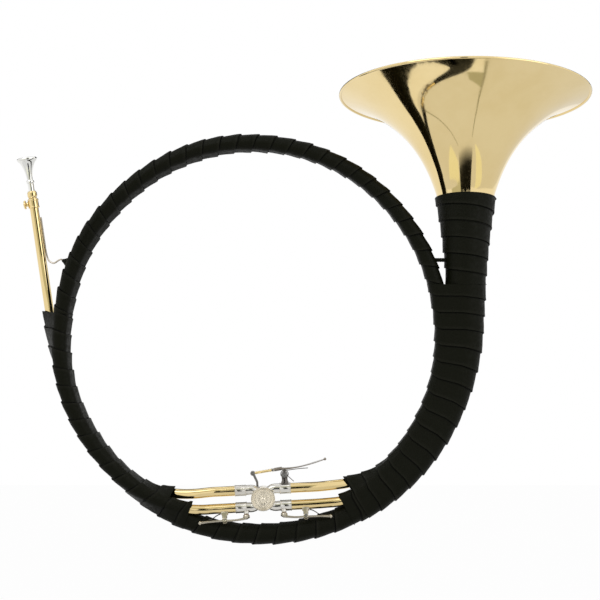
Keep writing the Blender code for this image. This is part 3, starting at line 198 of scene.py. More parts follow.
# Routes of the tubes: angle, radius and depth, in degrees and millimetres
MAIN_ROUTE = (
    (-57.65, 214.0, -2.2), (-55, 219.0, 0.5), (-51, 225.2, 4.6), (-47, 229.3, 6.2),
    (-42, 231.0, 6.5), (-20, 231.0, 6.5), (-8, 230.1, 6.5), (0, 229.2, 6.5),
    (10, 228.0, 6.5), (20, 227.5, 6.5), (40, 226.5, 6.5), (60, 226.5, 6.5),
    (78, 225.9, 6.5), (92, 225.4, 6.5), (105, 224.5, 6.5), (118, 223.7, 6.5),
    (130, 223.2, 6.5), (140, 223.3, 6.5), (150, 224.2, 6.5), (165, 224.5, 6.4),
    (174.6, 225.9, 5.9), (182, 227.3, 2.6), (190, 229.0, 0.2), (198, 230.3, 0.0),
    (206, 231.2, 0.0), (222, 231.7, 0.4), (230, 232.3, 1.2), (237, 234.3, 1.5),
    (243.5, 236.1, 0.8), (251, 238.3, 0.0), (258, 240.0, 0.0), (264, 241.2, 0.0),
    (270, 242.0, 0.0), (290, 246.5, 0.0), (300, 248.8, 0.0), (315, 251.4, 0.0),
    (330, 253.0, 0.0), (345, 254.8, 0.0), (360, 257.1, 0.0))
LOOP_ROUTE = (
    (-62, 228.4, -7.8), (-55, 230.8, -8.6), (-50, 231.3, -7.6), (-45, 231.3, -6.8),
    (-20, 231.0, -6.5), (-8, 230.1, -6.5), (0, 229.2, -6.5), (10, 228.0, -6.5),
    (20, 227.6, -6.5), (40, 226.9, -6.5), (60, 227.0, -6.5), (78, 226.7, -6.5),
    (92, 227.2, -6.5), (105, 227.7, -6.5), (118, 227.0, -6.5), (130, 226.5, -6.5),
    (140, 226.6, -6.5), (150, 227.6, -6.5), (165, 227.6, -6.7), (174.6, 228.1, -7.8),
    (182, 228.9, -11.0), (190, 230.4, -13.4), (206, 231.8, -13.9), (222, 231.6, -13.9),
    (230, 231.6, -13.1), (237, 230.6, -11.8), (243.5, 228.8, -9.5), (247, 227.5, -8.7),
    (251, 223.6, -8.0))
PIPE_ROUTE = (
    (174.6, 245.2, 14.5), (178, 242.0, 14.5), (182, 238.9, 14.5), (186, 236.0, 14.5),
    (190, 233.3, 14.5), (198, 231.3, 14.5), (206, 230.9, 14.5), (214, 230.9, 14.5),
    (222, 230.9, 14.5), (228, 230.6, 13.4), (232, 229.6, 12.2), (236, 227.6, 10.1),
    (240, 223.4, 7.0), (243.7, 216.0, 3.6))


# Finishes

class Graph:
    """A node tree with short ways to add nodes and to fill their inputs."""

    def __init__(self, tree):
        self.tree = tree

    def put(self, value, socket):
        """Join another node's output to the socket, or write a number or a colour into it."""
        if isinstance(value, bpy.types.NodeSocket):
            self.tree.links.new(value, socket)
        elif socket.type == "RGBA":
            socket.default_value = (*value, 1.0)
        else:
            socket.default_value = value

    def add(self, kind, inputs=None, **settings):
        node = self.tree.nodes.new(kind)
        for key, value in settings.items():
            setattr(node, key, value)
        for key, value in (inputs or {}).items():
            self.put(value, node.inputs[key])
        return node

    def math(self, operation, first, second):
        return self.add("ShaderNodeMath", {0: first, 1: second}, operation=operation).outputs[0]


class Recipe(Graph):
    """A finish being mixed."""

    def __init__(self, name):
        self.material = bpy.data.materials.new(name)
        self.material.use_nodes = True
        super().__init__(self.material.node_tree)
        self.shader = self.tree.nodes["Principled BSDF"]
        self.object_place = self.add("ShaderNodeTexCoord").outputs["Object"]

    def stretched(self, source, scale):
        return self.add("ShaderNodeMapping", {"Vector": source, "Scale": scale}).outputs[0]

    def noise(self, place, scale, detail=3.0, roughness=0.55):
        return self.add("ShaderNodeTexNoise", {"Vector": place, "Scale": scale,
                                               "Detail": detail,
                                               "Roughness": roughness}).outputs["Fac"]

    def grains(self, place, scale, feature):
        return self.add("ShaderNodeTexVoronoi", {"Vector": place, "Scale": scale},
                        feature=feature).outputs["Distance"]

    def ranged(self, value, low, high, to_low, to_high):
        return self.add("ShaderNodeMapRange", {
            "Value": value, "From Min": low, "From Max": high, "To Min": to_low,
            "To Max": to_high}).outputs[0]

    def mixed(self, share, first, second):
        return self.add("ShaderNodeMix", {0: share, 6: first, 7: second},
                        data_type="RGBA").outputs[2]

    def bumped(self, height, strength, distance, below=None):
        inputs = {"Height": height, "Strength": strength, "Distance": distance}
        if below is not None:
            inputs["Normal"] = below
        return self.add("ShaderNodeBump", inputs).outputs[0]

    def to_shader(self, **sockets):
        for key, value in sockets.items():
            title = key.replace("_", " ").title().replace("Ior", "IOR")
            self.put(value, self.shader.inputs[title])
        return self.material


def polished_metal(name, colour, shade, gloss, dull, haze=0.05):
    """Buffed metal: faint cloudy tarnish, a few duller patches and very fine buffing."""
    recipe = Recipe(name)
    place = recipe.object_place
    clouds = recipe.noise(place, 22.0, 4.0)
    spots = recipe.noise(place, 160.0, 2.0)
    tint = recipe.mixed(recipe.ranged(clouds, 0.40, 0.72, 0.0, 0.55), colour, shade)
    buffing = recipe.noise(recipe.stretched(place, (1.0, 1.0, 0.35)), 2600.0, 2.0)
    ripple = recipe.bumped(recipe.noise(place, 48.0, 1.0), haze, 0.0006)
    rough = recipe.ranged(recipe.mixed(0.5, clouds, spots), 0.35, 0.65, gloss, dull)
    return recipe.to_shader(base_color=tint, metallic=1.0, roughness=rough,
                            normal=recipe.bumped(buffing, 0.03, 0.00004, ripple))


def wound_leather(name, colour, rubbed):
    """Strap leather: pebbled grain, lengthwise creases, a rubbed edge on every turn, and painted
    shade along every seam.
    """
    recipe = Recipe(name)
    place = recipe.object_place
    across = recipe.add("ShaderNodeAttribute", attribute_name="across").outputs["Fac"]
    along = recipe.add("ShaderNodeAttribute", attribute_name="along").outputs["Fac"]
    strip = recipe.add("ShaderNodeCombineXYZ", {"X": across, "Y": along}).outputs[0]
    clouds = recipe.noise(place, 35.0, 4.0)
    rub = recipe.ranged(across, 0.80, 0.97, 0.0, 1.0)
    tint = recipe.mixed(recipe.math("MULTIPLY", rub, clouds), colour, rubbed)
    # Painted shade: the colour goes near black in the seam under the edge of the next turn and
    # on the step face of the turn's own edge
    seam_shade_painted = recipe.ranged(across, 0.015, 0.085, 1.0, 0.0)
    edge = recipe.ranged(across, 0.975, 0.99, 0.0, 1.0)
    seam_shade_painted = recipe.math("MAXIMUM", seam_shade_painted, edge)
    tint = recipe.mixed(seam_shade_painted, tint, (0.0006, 0.0006, 0.0003))
    pebbles = recipe.grains(place, PEBBLES, "SMOOTH_F1")
    creases = recipe.noise(recipe.stretched(strip, (7.0, 160.0, 1.0)), 1.0, 4.0)
    folds = recipe.noise(recipe.stretched(strip, (1.2, 38.0, 1.0)), 1.0, 2.0)
    normal = recipe.bumped(pebbles, 0.35, 0.0003)
    normal = recipe.bumped(creases, 0.30, 0.0008, normal)
    normal = recipe.bumped(folds, 0.35, 0.0020, normal)
    rough = recipe.ranged(recipe.noise(place, 260.0, 3.0), 0.35, 0.65, 0.42, 0.62)
    return recipe.to_shader(base_color=tint, roughness=recipe.math("MAXIMUM", rough, seam_shade_painted),
                            specular_ior_level=LEATHER_SHEEN, normal=normal)


def plain_leather(name, colour, rubbed):
    """The same leather on small nubs, with no strip to follow."""
    recipe = Recipe(name)
    place = recipe.object_place
    tint = recipe.mixed(recipe.ranged(recipe.noise(place, 90.0, 4.0), 0.45, 0.75, 0.0, 0.6),
                        colour, rubbed)
    pebbles = recipe.grains(place, PEBBLES, "SMOOTH_F1")
    rough = recipe.ranged(recipe.noise(place, 260.0, 3.0), 0.35, 0.65, 0.46, 0.66)
    return recipe.to_shader(base_color=tint, roughness=rough,
                            specular_ior_level=LEATHER_SHEEN,
                            normal=recipe.bumped(pebbles, 0.4, 0.0003))


def pressed_cork(name, pale, dark):
    """Cork: warm grains with dark pores."""
    recipe = Recipe(name)
    place = recipe.object_place
    grains = recipe.grains(place, CORK_GRAINS, "F1")
    tint = recipe.mixed(recipe.ranged(recipe.noise(place, 700.0, 3.0), 0.4, 0.6, 0.0, 1.0),
                        pale, dark)
    tint = recipe.mixed(recipe.ranged(grains, 0.45, 0.7, 0.0, 0.7), tint,
                        (0.06, 0.03, 0.015))
    normal = recipe.bumped(grains, 0.5, 0.0003)
    rough = recipe.ranged(grains, 0.0, 0.8, 0.85, 0.65)
    return recipe.to_shader(base_color=tint, roughness=rough, normal=normal)


BRASS = polished_metal("lacquered_brass", (0.84, 0.67, 0.35), (0.77, 0.59, 0.27), 0.045, 0.09)
NICKEL = polished_metal("nickel_silver", (0.74, 0.72, 0.67), (0.64, 0.60, 0.53), 0.07, 0.15)
SILVER = polished_metal("silver_plate", (0.84, 0.84, 0.81), (0.74, 0.72, 0.67), 0.05, 0.12)
CAP_SILVER = polished_metal("turned_cap", (0.84, 0.77, 0.63), (0.72, 0.65, 0.51), 0.15, 0.28)
STEEL = polished_metal("blued_spring_steel", (0.24, 0.235, 0.225), (0.15, 0.14, 0.135), 0.18,
                       0.30)
# Painted reflection: the lever's nickel is darkened to stand in for the dark surroundings that
# its blade mirrors
LEVER_NICKEL = polished_metal("handled_nickel", (0.30, 0.265, 0.225), (0.21, 0.185, 0.155),
                              0.14, 0.26)
KEY_NICKEL = polished_metal("worn_key_nickel", (0.50, 0.46, 0.37), (0.36, 0.32, 0.25), 0.08,
                            0.17)
POST_NICKEL = polished_metal("dark_post_nickel", (0.17, 0.155, 0.14), (0.11, 0.10, 0.09),
                             0.08, 0.18)
WIRE_NICKEL = polished_metal("bent_wire", (0.52, 0.47, 0.40), (0.40, 0.36, 0.31), 0.12, 0.22)
LEATHER_STRIP = wound_leather("wound_black_leather", (0.0046, 0.0051, 0.0017),
                              (0.014, 0.014, 0.009))
LEATHER_NUB = plain_leather("black_leather_nub", (0.0046, 0.0051, 0.0017),
                            (0.012, 0.012, 0.008))
CORK = pressed_cork("brown_cork", (0.42, 0.24, 0.12), (0.25, 0.12, 0.05))

CARRIED = {"lacquered_brass": BRASS, "nickel_silver": NICKEL, "silver_plate": SILVER,
           "spring_steel": STEEL, "black_leather": LEATHER_NUB, "brown_cork": CORK}


# Making pieces

def linked(name, data):
    """A new object with this data, in the scene."""
    thing = bpy.data.objects.new(name, data)
    bpy.context.scene.collection.objects.link(thing)
    return thing


def as_mesh(thing):
    """The mesh of an object with its modifiers done; the object itself is removed."""
    bpy.context.view_layer.update()
    mesh = bpy.data.meshes.new_from_object(
        thing.evaluated_get(bpy.context.evaluated_depsgraph_get()))
    bpy.data.objects.remove(thing, do_unlink=True)
    return mesh


def fit(name, shape, material, *nodes, body="horn", sharp=38, bend=None):
    """Give a shape its finish, let it ride on a body and stand for the frame's nodes.

    A piece given a bend rides on no body: its placing is baked into its mesh, and the bodies and
    bend points it names are not used.
    """
    mesh = finished(shape) if isinstance(shape, bmesh.types.BMesh) else shape
    mesh.name = name
    mesh.materials.clear()
    mesh.materials.append(material)
    mesh.shade_smooth()
    mesh.set_sharp_from_angle(angle=radians(sharp))
    piece = linked(name, mesh)
    if bend:
        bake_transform(piece)
    else:
        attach(piece, body)
    if nodes:
        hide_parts(*nodes)


def finished(shape):
    """A mesh from a bmesh, its doubles merged and its faces turned outwards."""
    bmesh.ops.remove_doubles(shape, verts=shape.verts, dist=0.000002)
    bmesh.ops.recalc_face_normals(shape, faces=shape.faces)
    mesh = bpy.data.meshes.new("work")
    shape.to_mesh(mesh)
    shape.free()
    return mesh


def add_turned(shape, matrix, profile, steps, corner=0.0, corner_steps=3):
    """Turn a profile of (radius, height) points about Z into the shape.

    A profile that starts on the axis is open there, any other one closes on itself.
    """
    closed = profile[0][0] > 0
    if corner:
        profile = rounded(profile, corner, corner_steps, closed)
    rings = []
    for radius, height in profile:
        count = steps if radius > 1e-7 else 1
        rings.append([shape.verts.new(matrix @ Vector((radius * cos(2 * pi * i / steps),
                                                       radius * sin(2 * pi * i / steps),
                                                       height))) for i in range(count)])
    pairs = list(zip(rings, rings[1:]))
    if closed:
        pairs.append((rings[-1], rings[0]))
    for low, high in pairs:
        for i in range(steps):
            j = (i + 1) % steps
            corners = [low[i % len(low)], low[j % len(low)], high[j % len(high)],
                       high[i % len(high)]]
            corners = list(dict.fromkeys(corners))
            if len(corners) > 2:
                shape.faces.new(corners)


def rod_profile(radius, start, end):
    return [(0, start), (radius, start), (radius, end), (0, end)]


def fit_turned(name, matrix, profile, steps, material, *nodes, corner=0.0002,
               corner_steps=3, **more):
    """One piece turned from one profile."""
    shape = bmesh.new()
    add_turned(shape, matrix, profile, steps, corner, corner_steps)
    fit(name, shape, material, *nodes, **more)


def fit_screw(name, node, matrix, head, shank, slot, steps=40, cone=0.0, body="horn"):
    """A slotted screw: head as radius, foot and top, shank as radius and tip."""
    shape = bmesh.new()
    (head_radius, foot, top), (radius, tip) = head, shank
    add_turned(shape, matrix, [(0, top), (head_radius, top), (head_radius, foot),
                               (radius, foot), (radius, tip), (0, tip - cone)], steps, 0.0003)
    fit(name, with_slot(finished(shape), matrix, *slot, top), STEEL, node, body=body)


def at_valve(point, depth=0.0):
    """Where a piece is turned about a point of the valve, its Z to the back."""
    return VALVE @ Matrix.Translation((point[0], depth, point[1])) @ TO_BACK


def rounded(profile, radius, steps=3, closed=True):
    """The profile with each corner rounded; corners on the axis stay."""
    result = []
    count = len(profile)
    for i, point in enumerate(profile):
        here = Vector(point)
        ends = not closed and i in (0, count - 1)
        if ends or point[0] < 1e-7:
            result.append(tuple(point))
            continue
        before = Vector(profile[i - 1]) - here
        after = Vector(profile[(i + 1) % count]) - here
        bend = before.angle(after)
        if bend > radians(172):
            result.append(tuple(point))
            continue
        room = min(before.length, after.length) * 0.45
        back = min(radius / tan(bend / 2), room)
        start, end = here + before.normalized() * back, here + after.normalized() * back
        for k in range(steps + 1):
            t = k / steps
            spot = start * (1 - t) ** 2 + here * (2 * t * (1 - t)) + end * t ** 2
            result.append((spot.x, spot.y))
    return result


def sweep_frames(points):
    """At each point the way along and two directions across that don't twist."""
    frames = []
    side = None
    for i, point in enumerate(points):
        along = (points[min(i + 1, len(points) - 1)] - points[max(i - 1, 0)]).normalized()
        if side is None:
            side = along.orthogonal().normalized()
        side = (side - along * side.dot(along)).normalized()
        frames.append((point, along, side, along.cross(side)))
    return frames


def skin(shape, rings):
    """Faces from each ring of corners to the next one."""
    for low, high in zip(rings, rings[1:]):
        for i in range(len(low)):
            j = (i + 1) % len(low)
            shape.faces.new((low[i], low[j], high[j], high[i]))


def add_tube(shape, matrix, points, radii, wall=None, sides=32):
    """A tube or, without a wall, a rod along the points, into the shape."""
    frames = sweep_frames([Vector(p) for p in points])
    if not hasattr(radii, "__len__"):
        radii = [radii] * len(frames)

    def rings(shrink):
        made = []
        for (point, _, side, up), radius in zip(frames, radii):
            made.append([shape.verts.new(matrix @ (point + (side * cos(2 * pi * i / sides)
                                                           + up * sin(2 * pi * i / sides))
                                                  * (radius - shrink)))
                         for i in range(sides)])
        return made

    outside = rings(0.0)
    skin(shape, outside)
    if wall is None:
        shape.faces.new(outside[0])
        shape.faces.new(outside[-1])
        return
    inside = rings(wall)
    skin(shape, inside)
    skin(shape, (outside[0], inside[0]))
    skin(shape, (outside[-1], inside[-1]))


def add_ball(shape, matrix, centre, radius, segments=28):
    bmesh.ops.create_uvsphere(shape, u_segments=segments, v_segments=segments // 2,
                              radius=radius, matrix=matrix @ Matrix.Translation(centre))


def add_block(shape, matrix, size, centre, bevel=0.0002):
    made = bmesh.ops.create_cube(shape, size=1.0, matrix=matrix @ Matrix.Translation(centre)
                                 @ Matrix.Diagonal((*size, 1.0)))
    edges = list({edge for corner in made["verts"] for edge in corner.link_edges})
    bmesh.ops.bevel(shape, geom=edges, offset=bevel, segments=2, affect="EDGES", profile=0.6)


def add_plate(shape, matrix, outlines, half, bevel):
    """A plate with rounded edges; an outline inside another one is a hole."""
    curve = bpy.data.curves.new("outline", "CURVE")
    curve.dimensions = "2D"
    curve.fill_mode = "BOTH"
    curve.extrude = half - bevel
    curve.bevel_depth = bevel
    curve.bevel_resolution = 2
    curve.offset = -bevel
    for outline in outlines:
        spline = curve.splines.new("POLY")
        spline.points.add(len(outline) - 1)
        spline.use_cyclic_u = True
        for knot, (x, y) in zip(spline.points, outline):
            knot.co = (x, y, 0.0, 1.0)
    mesh = as_mesh(linked("outline", curve))
    mesh.transform(matrix)
    shape.from_mesh(mesh)
    bpy.data.curves.remove(curve)
    bpy.data.meshes.remove(mesh)


def add_loft(shape, matrix, rings):
    """A closed form through rings of equal count, with a flat face at each end."""
    made = [[shape.verts.new(matrix @ Vector(point)) for point in ring] for ring in rings]
    skin(shape, made)
    shape.faces.new(made[0])
    shape.faces.new(made[-1])


def with_slot(mesh, matrix, width, length, depth, top):
    """Cut a screwdriver slot into the head whose top is at that height."""
    shape = bmesh.new()
    bmesh.ops.create_cube(shape, size=1.0, matrix=matrix
                          @ Matrix.Translation((0, 0, top - depth / 2 + 0.0005))
                          @ Matrix.Diagonal((length, width, depth + 0.001, 1.0)))
    cutter = linked("slot", finished(shape))
    work = linked("slotted", mesh)
    step = work.modifiers.new("slot", "BOOLEAN")
    step.operation = "DIFFERENCE"
    step.object = cutter
    result = as_mesh(work)
    bpy.data.objects.remove(cutter, do_unlink=True)
    return result


# Trees of geometry nodes

class Pattern(Graph):
    """A geometry node tree with named inputs, whose result becomes a plain mesh."""

    def __init__(self, name, inputs):
        super().__init__(bpy.data.node_groups.new(name, "GeometryNodeTree"))
        self.identifiers = {}
        for label, (kind, value) in inputs.items():
            socket = self.tree.interface.new_socket(label, in_out="INPUT", socket_type=kind)
            socket.default_value = value
            self.identifiers[label] = socket.identifier
        self.tree.interface.new_socket("Geometry", in_out="OUTPUT",
                                       socket_type="NodeSocketGeometry")
        self.sizes = self.tree.nodes.new("NodeGroupInput").outputs

    def close(self, geometry, material):
        real = self.add("GeometryNodeRealizeInstances", {"Geometry": geometry})
        dressed = self.add("GeometryNodeSetMaterial",
                           {"Geometry": real.outputs[0], "Material": material})
        self.add("NodeGroupOutput", {"Geometry": dressed.outputs[0]})

    def made(self, matrix, **values):
        """The pattern with these sizes, as a plain mesh set down by the matrix."""
        holder = linked("pattern", bpy.data.meshes.new("pattern"))
        step = holder.modifiers.new("pattern", "NODES")
        step.node_group = self.tree
        for label, value in values.items():
            step[self.identifiers[label.replace("_", " ").capitalize()]] = value
        mesh = as_mesh(holder)
        mesh.transform(matrix)
        return mesh


def ring_of_beads(material):
    """Long or round beads set round a circle, each pointing outwards."""
    pattern = Pattern("ring_of_beads", {
        "Count": ("NodeSocketInt", 24), "Circle": ("NodeSocketFloat", 0.01),
        "Length": ("NodeSocketFloat", 0.001), "Width": ("NodeSocketFloat", 0.001),
        "Height": ("NodeSocketFloat", 0.001), "Start": ("NodeSocketFloat", 0.0)})
    sizes = pattern.sizes
    circle = pattern.add("GeometryNodeMeshCircle", {"Vertices": sizes["Count"],
                                                    "Radius": sizes["Circle"]})
    turn = pattern.add("ShaderNodeCombineXYZ", {"Z": sizes["Start"]})
    turned = pattern.add("GeometryNodeTransform", {"Geometry": circle.outputs[0],
                                                   "Rotation": turn.outputs[0]})
    bead = pattern.add("GeometryNodeMeshUVSphere", {"Segments": 12, "Rings": 8,
                                                    "Radius": 1.0})
    aim = pattern.add("FunctionNodeAlignRotationToVector", {
        "Vector": pattern.add("GeometryNodeInputPosition").outputs[0]}, axis="X")
    size = pattern.add("ShaderNodeCombineXYZ", {"X": sizes["Length"], "Y": sizes["Width"],
                                                "Z": sizes["Height"]})
    beads = pattern.add("GeometryNodeInstanceOnPoints", {
        "Points": turned.outputs[0], "Instance": bead.outputs[0],
        "Rotation": aim.outputs[0], "Scale": size.outputs[0]})
    pattern.close(beads.outputs[0], material)
    return pattern


def wound_wire(material):
    """A wire wound as a screw thread or a coil about Z."""
    pattern = Pattern("wound_wire", {
        "Turns": ("NodeSocketFloat", 4.0), "Radius": ("NodeSocketFloat", 0.002),
        "Height": ("NodeSocketFloat", 0.004), "Wire": ("NodeSocketFloat", 0.0003),
        "Steps": ("NodeSocketInt", 24)})
    sizes = pattern.sizes
    coil = pattern.add("GeometryNodeCurveSpiral", {
        "Resolution": sizes["Steps"], "Rotations": sizes["Turns"],
        "Start Radius": sizes["Radius"], "End Radius": sizes["Radius"],
        "Height": sizes["Height"]})
    section = pattern.add("GeometryNodeCurvePrimitiveCircle", {"Resolution": 8,
                                                               "Radius": sizes["Wire"]})
    wire = pattern.add("GeometryNodeCurveToMesh", {
        "Curve": coil.outputs[0], "Profile Curve": section.outputs[0], "Fill Caps": True})
    pattern.close(wire.outputs[0], material)
    return pattern


# Curves and places

def arc(centre, radius, start, end, steps):
    return [(centre[0] + radius * cos(radians(start + (end - start) * i / steps)),
             centre[1] + radius * sin(radians(start + (end - start) * i / steps)))
            for i in range(steps + 1)]


def circle(centre, radius, steps=40):
    return arc(centre, radius, 0, 360, steps)[:-1]


def even_steps(start, end, count):
    return [start + (end - start) * i / count for i in range(count + 1)]


def smooth_value(knots, x):
    """Values at x on the smooth curve through the knots (x, value, value)."""
    x = min(max(x, knots[0][0]), knots[-1][0])
    k = next(i for i in range(len(knots) - 1) if x <= knots[i + 1][0])
    low, high = knots[k], knots[k + 1]
    width = high[0] - low[0]
    t = (x - low[0]) / width
    result = []
    for c in range(1, len(low)):
        rise = (high[c] - low[c]) / width
        m0 = m1 = rise
        if k > 0:
            m0 = (high[c] - knots[k - 1][c]) / (high[0] - knots[k - 1][0])
        if k + 1 < len(knots) - 1:
            m1 = (knots[k + 2][c] - low[c]) / (knots[k + 2][0] - low[0])
        result.append((2 * t**3 - 3 * t**2 + 1) * low[c]
                      + (t**3 - 2 * t**2 + t) * m0 * width
                      + (3 * t**2 - 2 * t**3) * high[c] + (t**3 - t**2) * m1 * width)
    return result


def smooth_points(points, steps, first=0):
    """Points on a smooth curve through the given ones; before index first they are kept."""
    travel = [0.0]
    for a, b in zip(points, points[1:]):
        travel.append(travel[-1] + (Vector(b) - Vector(a)).length)
    knots = [(d, *p) for d, p in zip(travel, points)]
    result = [Vector(p) for p in points[:first]]
    for k in range(first, len(points) - 1):
        for i in range(steps):
            result.append(Vector(smooth_value(knots, travel[k]
                                              + (travel[k + 1] - travel[k]) * i / steps)))
    result.append(Vector(points[-1]))
    return result


def smooth_profile(points, steps=5):
    return [(p.x, p.y) for p in smooth_points([(*p, 0.0) for p in points], steps)]


def flare(distance):
    """Outside radius of the bell branch, by distance back from the leather's edge."""
    shrink = (BRANCH_POLE / (BRANCH_POLE + distance)) ** BRANCH_POWER
    return max(TUBE_RADIUS, BRANCH_MOUTH_RADIUS * shrink)


def main_circle(angle):
    radius, depth = smooth_value(MAIN_ROUTE, angle)
    metal = TUBE_RADIUS
    if angle > 90:
        metal = flare(EDGE_HEIGHT + radians(360 - angle) * (BRANCH_OUT - BRANCH_SHIFT))
    return radius * MM, depth * MM, metal


def loop_circle(angle):
    radius, depth = smooth_value(LOOP_ROUTE, angle)
    return radius * MM, depth * MM, TUBE_RADIUS


def pipe_circle(angle):
    radius, depth = smooth_value(PIPE_ROUTE, angle)
    grow = min(max((angle - PIPE_ROUTE[0][0]) / PIPE_GROW, 0), 1)
    return radius * MM, depth * MM, PIPE_LOW_RADIUS + (TUBE_RADIUS - PIPE_LOW_RADIUS) * grow


def branch_circle(angle):
    """The branch on its way below the ring, where its angles are one turn on."""
    return main_circle(angle + 360)


def ring_point(angle, radius, depth):
    return Vector((radius * cos(radians(angle)), depth, radius * sin(radians(angle))))


def branch_centre(height):
    """The branch's axis above the ring's middle, where it bends back to the bell."""
    bend_height = BELL_BEND_RADIUS * sin(BELL_TILT)
    rise = min(max(height - BELL_BEND_START, 0), bend_height)
    depth = BELL_BEND_RADIUS - sqrt(BELL_BEND_RADIUS**2 - rise**2)
    depth += max(height - BELL_BEND_START - bend_height, 0) * tan(BELL_TILT)
    side = BRANCH_OUT + max(height - BELL_BEND_START, 0) * tan(BELL_LEAN)
    return Vector((side, depth, height))


def stations(start, end):
    """Angles along a route from start to end: even steps, and the splits between them."""
    inner = [STEP * i for i in range(ceil(start / STEP), floor(end / STEP) + 1)
             if min(abs(STEP * i - split) for split in SPLITS) > STEP_ROOM]
    inner += list(SPLITS)
    inner = sorted(a for a in inner if start + END_ROOM < a < end - END_ROOM)
    return [start] + inner + [end]


def route_points(circle_at, angles):
    found = [circle_at(angle) for angle in angles]
    return [ring_point(a, radius + STRADDLE, depth)
            for a, (radius, depth, _) in zip(angles, found)]


# Leather: a section is an origin, the outward and the backward way, and the metal in it

BACK = Vector((0, 1, 0))


def ring_section(angle, circles):
    out = Vector((cos(radians(angle)), 0, sin(radians(angle))))
    return Vector((0, 0, 0)), out, BACK, [circle_at(angle) for circle_at in circles]


def leaning_section(angle, circles):
    """Like ring_section, but it leans over to meet the right bundle's level top."""
    first, full = SPLITS[2], LEAN_FULL
    lean = full * max((angle - first) / (full - first), 0) if angle < full else angle
    out = Vector((cos(radians(lean)), 0, sin(radians(lean))))
    slant = cos(radians(angle - lean))
    found = [(radius - RING_RADIUS, depth, metal / slant)
             for radius, depth, metal in (circle_at(angle) for circle_at in circles)]
    return ring_point(angle, RING_RADIUS, 0), out, BACK, found


def level_section(height, circles):
    """A level section through the ring's tubes and the branch above the ring's middle."""
    found = []
    for circle_at in circles:
        angle = asin(height / LEVEL_RADIUS)
        radius, depth, metal = circle_at(degrees(angle))
        found.append((sqrt(radius**2 - height**2), depth, metal / cos(angle)))
    middle = branch_centre(height)
    found.append((middle.x, middle.y, flare(EDGE_HEIGHT - height)))
    return Vector((0, 0, height)), Vector((1, 0, 0)), BACK, found


def branch_section(height):
    """A section square to the branch's axis."""
    step = 0.0005
    along = (branch_centre(height + step) - branch_centre(height - step)).normalized()
    out = (Vector((1, 0, 0)) - along * along.x).normalized()
    return branch_centre(height), out, along.cross(out), [(0, 0, flare(EDGE_HEIGHT - height))]


def outline_point(section, part, grow):
    """A point on the taut outline round a section's circles; part goes 0 to 1 round it."""
    origin, out, back, circles = section
    tilt = 0.0
    if len(circles) > 1:
        front, rear = circles[0], circles[1]
        tilt = atan2(rear[0] - front[0], rear[1] - front[1])
    angle = tilt + 2 * pi * part
    along, across = cos(angle), -sin(angle)
    side, depth, metal = max(circles, key=lambda c: c[0] * along + c[1] * across + c[2])
    reach = metal + grow
    return origin + out * (side + reach * along) + back * (depth + reach * across)


def uneven(turns, seed):
    """A smooth, repeatable unevenness from -1 to 1 along a hand-wound strip."""
    return (sin(turns * 1.9 + seed) + 0.7 * sin(turns * 4.3 + 1.7 * seed)
            + 0.5 * sin(turns * 9.7 + 0.6 * seed)) / 2.2


def strip_height(share):
    """Height across the strip at a share of the pitch, between the listed places."""
    if share <= STRIP_SHAPE[0][0]:
        return 0.0
    for (low, a), (high, b) in zip(STRIP_SHAPE, STRIP_SHAPE[1:]):
        if share <= high:
            return a + (b - a) * (share - low) / (high - low)
    return STRIP_SHAPE[-1][1]


def winding(name, section_at, length, pitch, columns, leather=LEATHER, room=LEATHER_ROOM,
            phase=0.0, seed=0.0):
    """One long strip wound round the tubes, each turn lapped over the next."""
    shape = bmesh.new()
    across_layer = shape.verts.layers.float.new("across")
    along_layer = shape.verts.layers.float.new("along")
    rows_each = len(STRIP_SHAPE)

    def outer(turn, share, column):
        part = column / columns
        turns = turn - part
        drift = PITCH_DRIFT * uneven(turns + share, seed) * min(share, 1 - share) * 4
        distance = (turns + phase - 1 + share + drift) * pitch
        wander = EDGE_WANDER * uneven(turns, seed + 2.0) * pitch
        distance += wander
        height = strip_height(share)
        if not 0 < distance < length:
            distance = min(max(distance, 0), length)
            place = (distance - wander) / pitch - turns - phase + 1
            height = strip_height(place - floor(place))
        height *= LEATHER_LIFT * (1 + LIFT_DRIFT * uneven(turns * 1.4, seed + 4.0))
        swell = SWELL * uneven(turns * 2.6 + share * 1.3, seed + 7.0) * share * 3
        spot = shape.verts.new(outline_point(section_at(distance), part + 0.5 / columns,
                                             leather + height + swell))
        spot[across_layer] = share
        spot[along_layer] = turns * STRIP_ROUND
        return spot

    rows = []
    for turn in range(-1, ceil(length / pitch) + 3):
        for share, _ in STRIP_SHAPE:
            rows.append([outer(turn, share, c) for c in range(columns)])
    for k in range(rows_each, len(rows) - 1):
        for c in range(columns):
            if c < columns - 1:
                corners = (rows[k][c], rows[k + 1][c], rows[k + 1][c + 1], rows[k][c + 1])
            else:
                corners = (rows[k][c], rows[k + 1][c], rows[k + 1 - rows_each][0],
                           rows[k - rows_each][0])
            shape.faces.new(corners)

    def end_ring(distance, grow):
        section = section_at(distance)
        return [shape.verts.new(outline_point(section, (c + 0.5) / columns, grow))
                for c in range(columns)]

    count = max(int(length / BORE_STEP), 1)
    bore = [end_ring(length * i / count, room) for i in range(count + 1)]
    for rings in (bore, (bore[0], rows[rows_each]), (bore[-1], rows[-1])):
        skin(shape, rings)
    bmesh.ops.remove_doubles(shape, verts=shape.verts, dist=0.000004)
    bmesh.ops.dissolve_degenerate(shape, edges=shape.edges, dist=0.000002)
    mesh = finished(shape)
    mesh.transform(RING)
    fit(name, mesh, LEATHER_STRIP, name, sharp=70)


def ring_winding(name, start, end, circles, pitch, columns, section=ring_section, **more):
    """A sleeve from one angle clockwise to a smaller one."""
    start, end = start + LEATHER_LAP, end - LEATHER_LAP
    length = radians(start - end) * RING_RADIUS
    winding(name, lambda d: section(start - degrees(d / RING_RADIUS), circles), length, pitch,
            columns, **more)


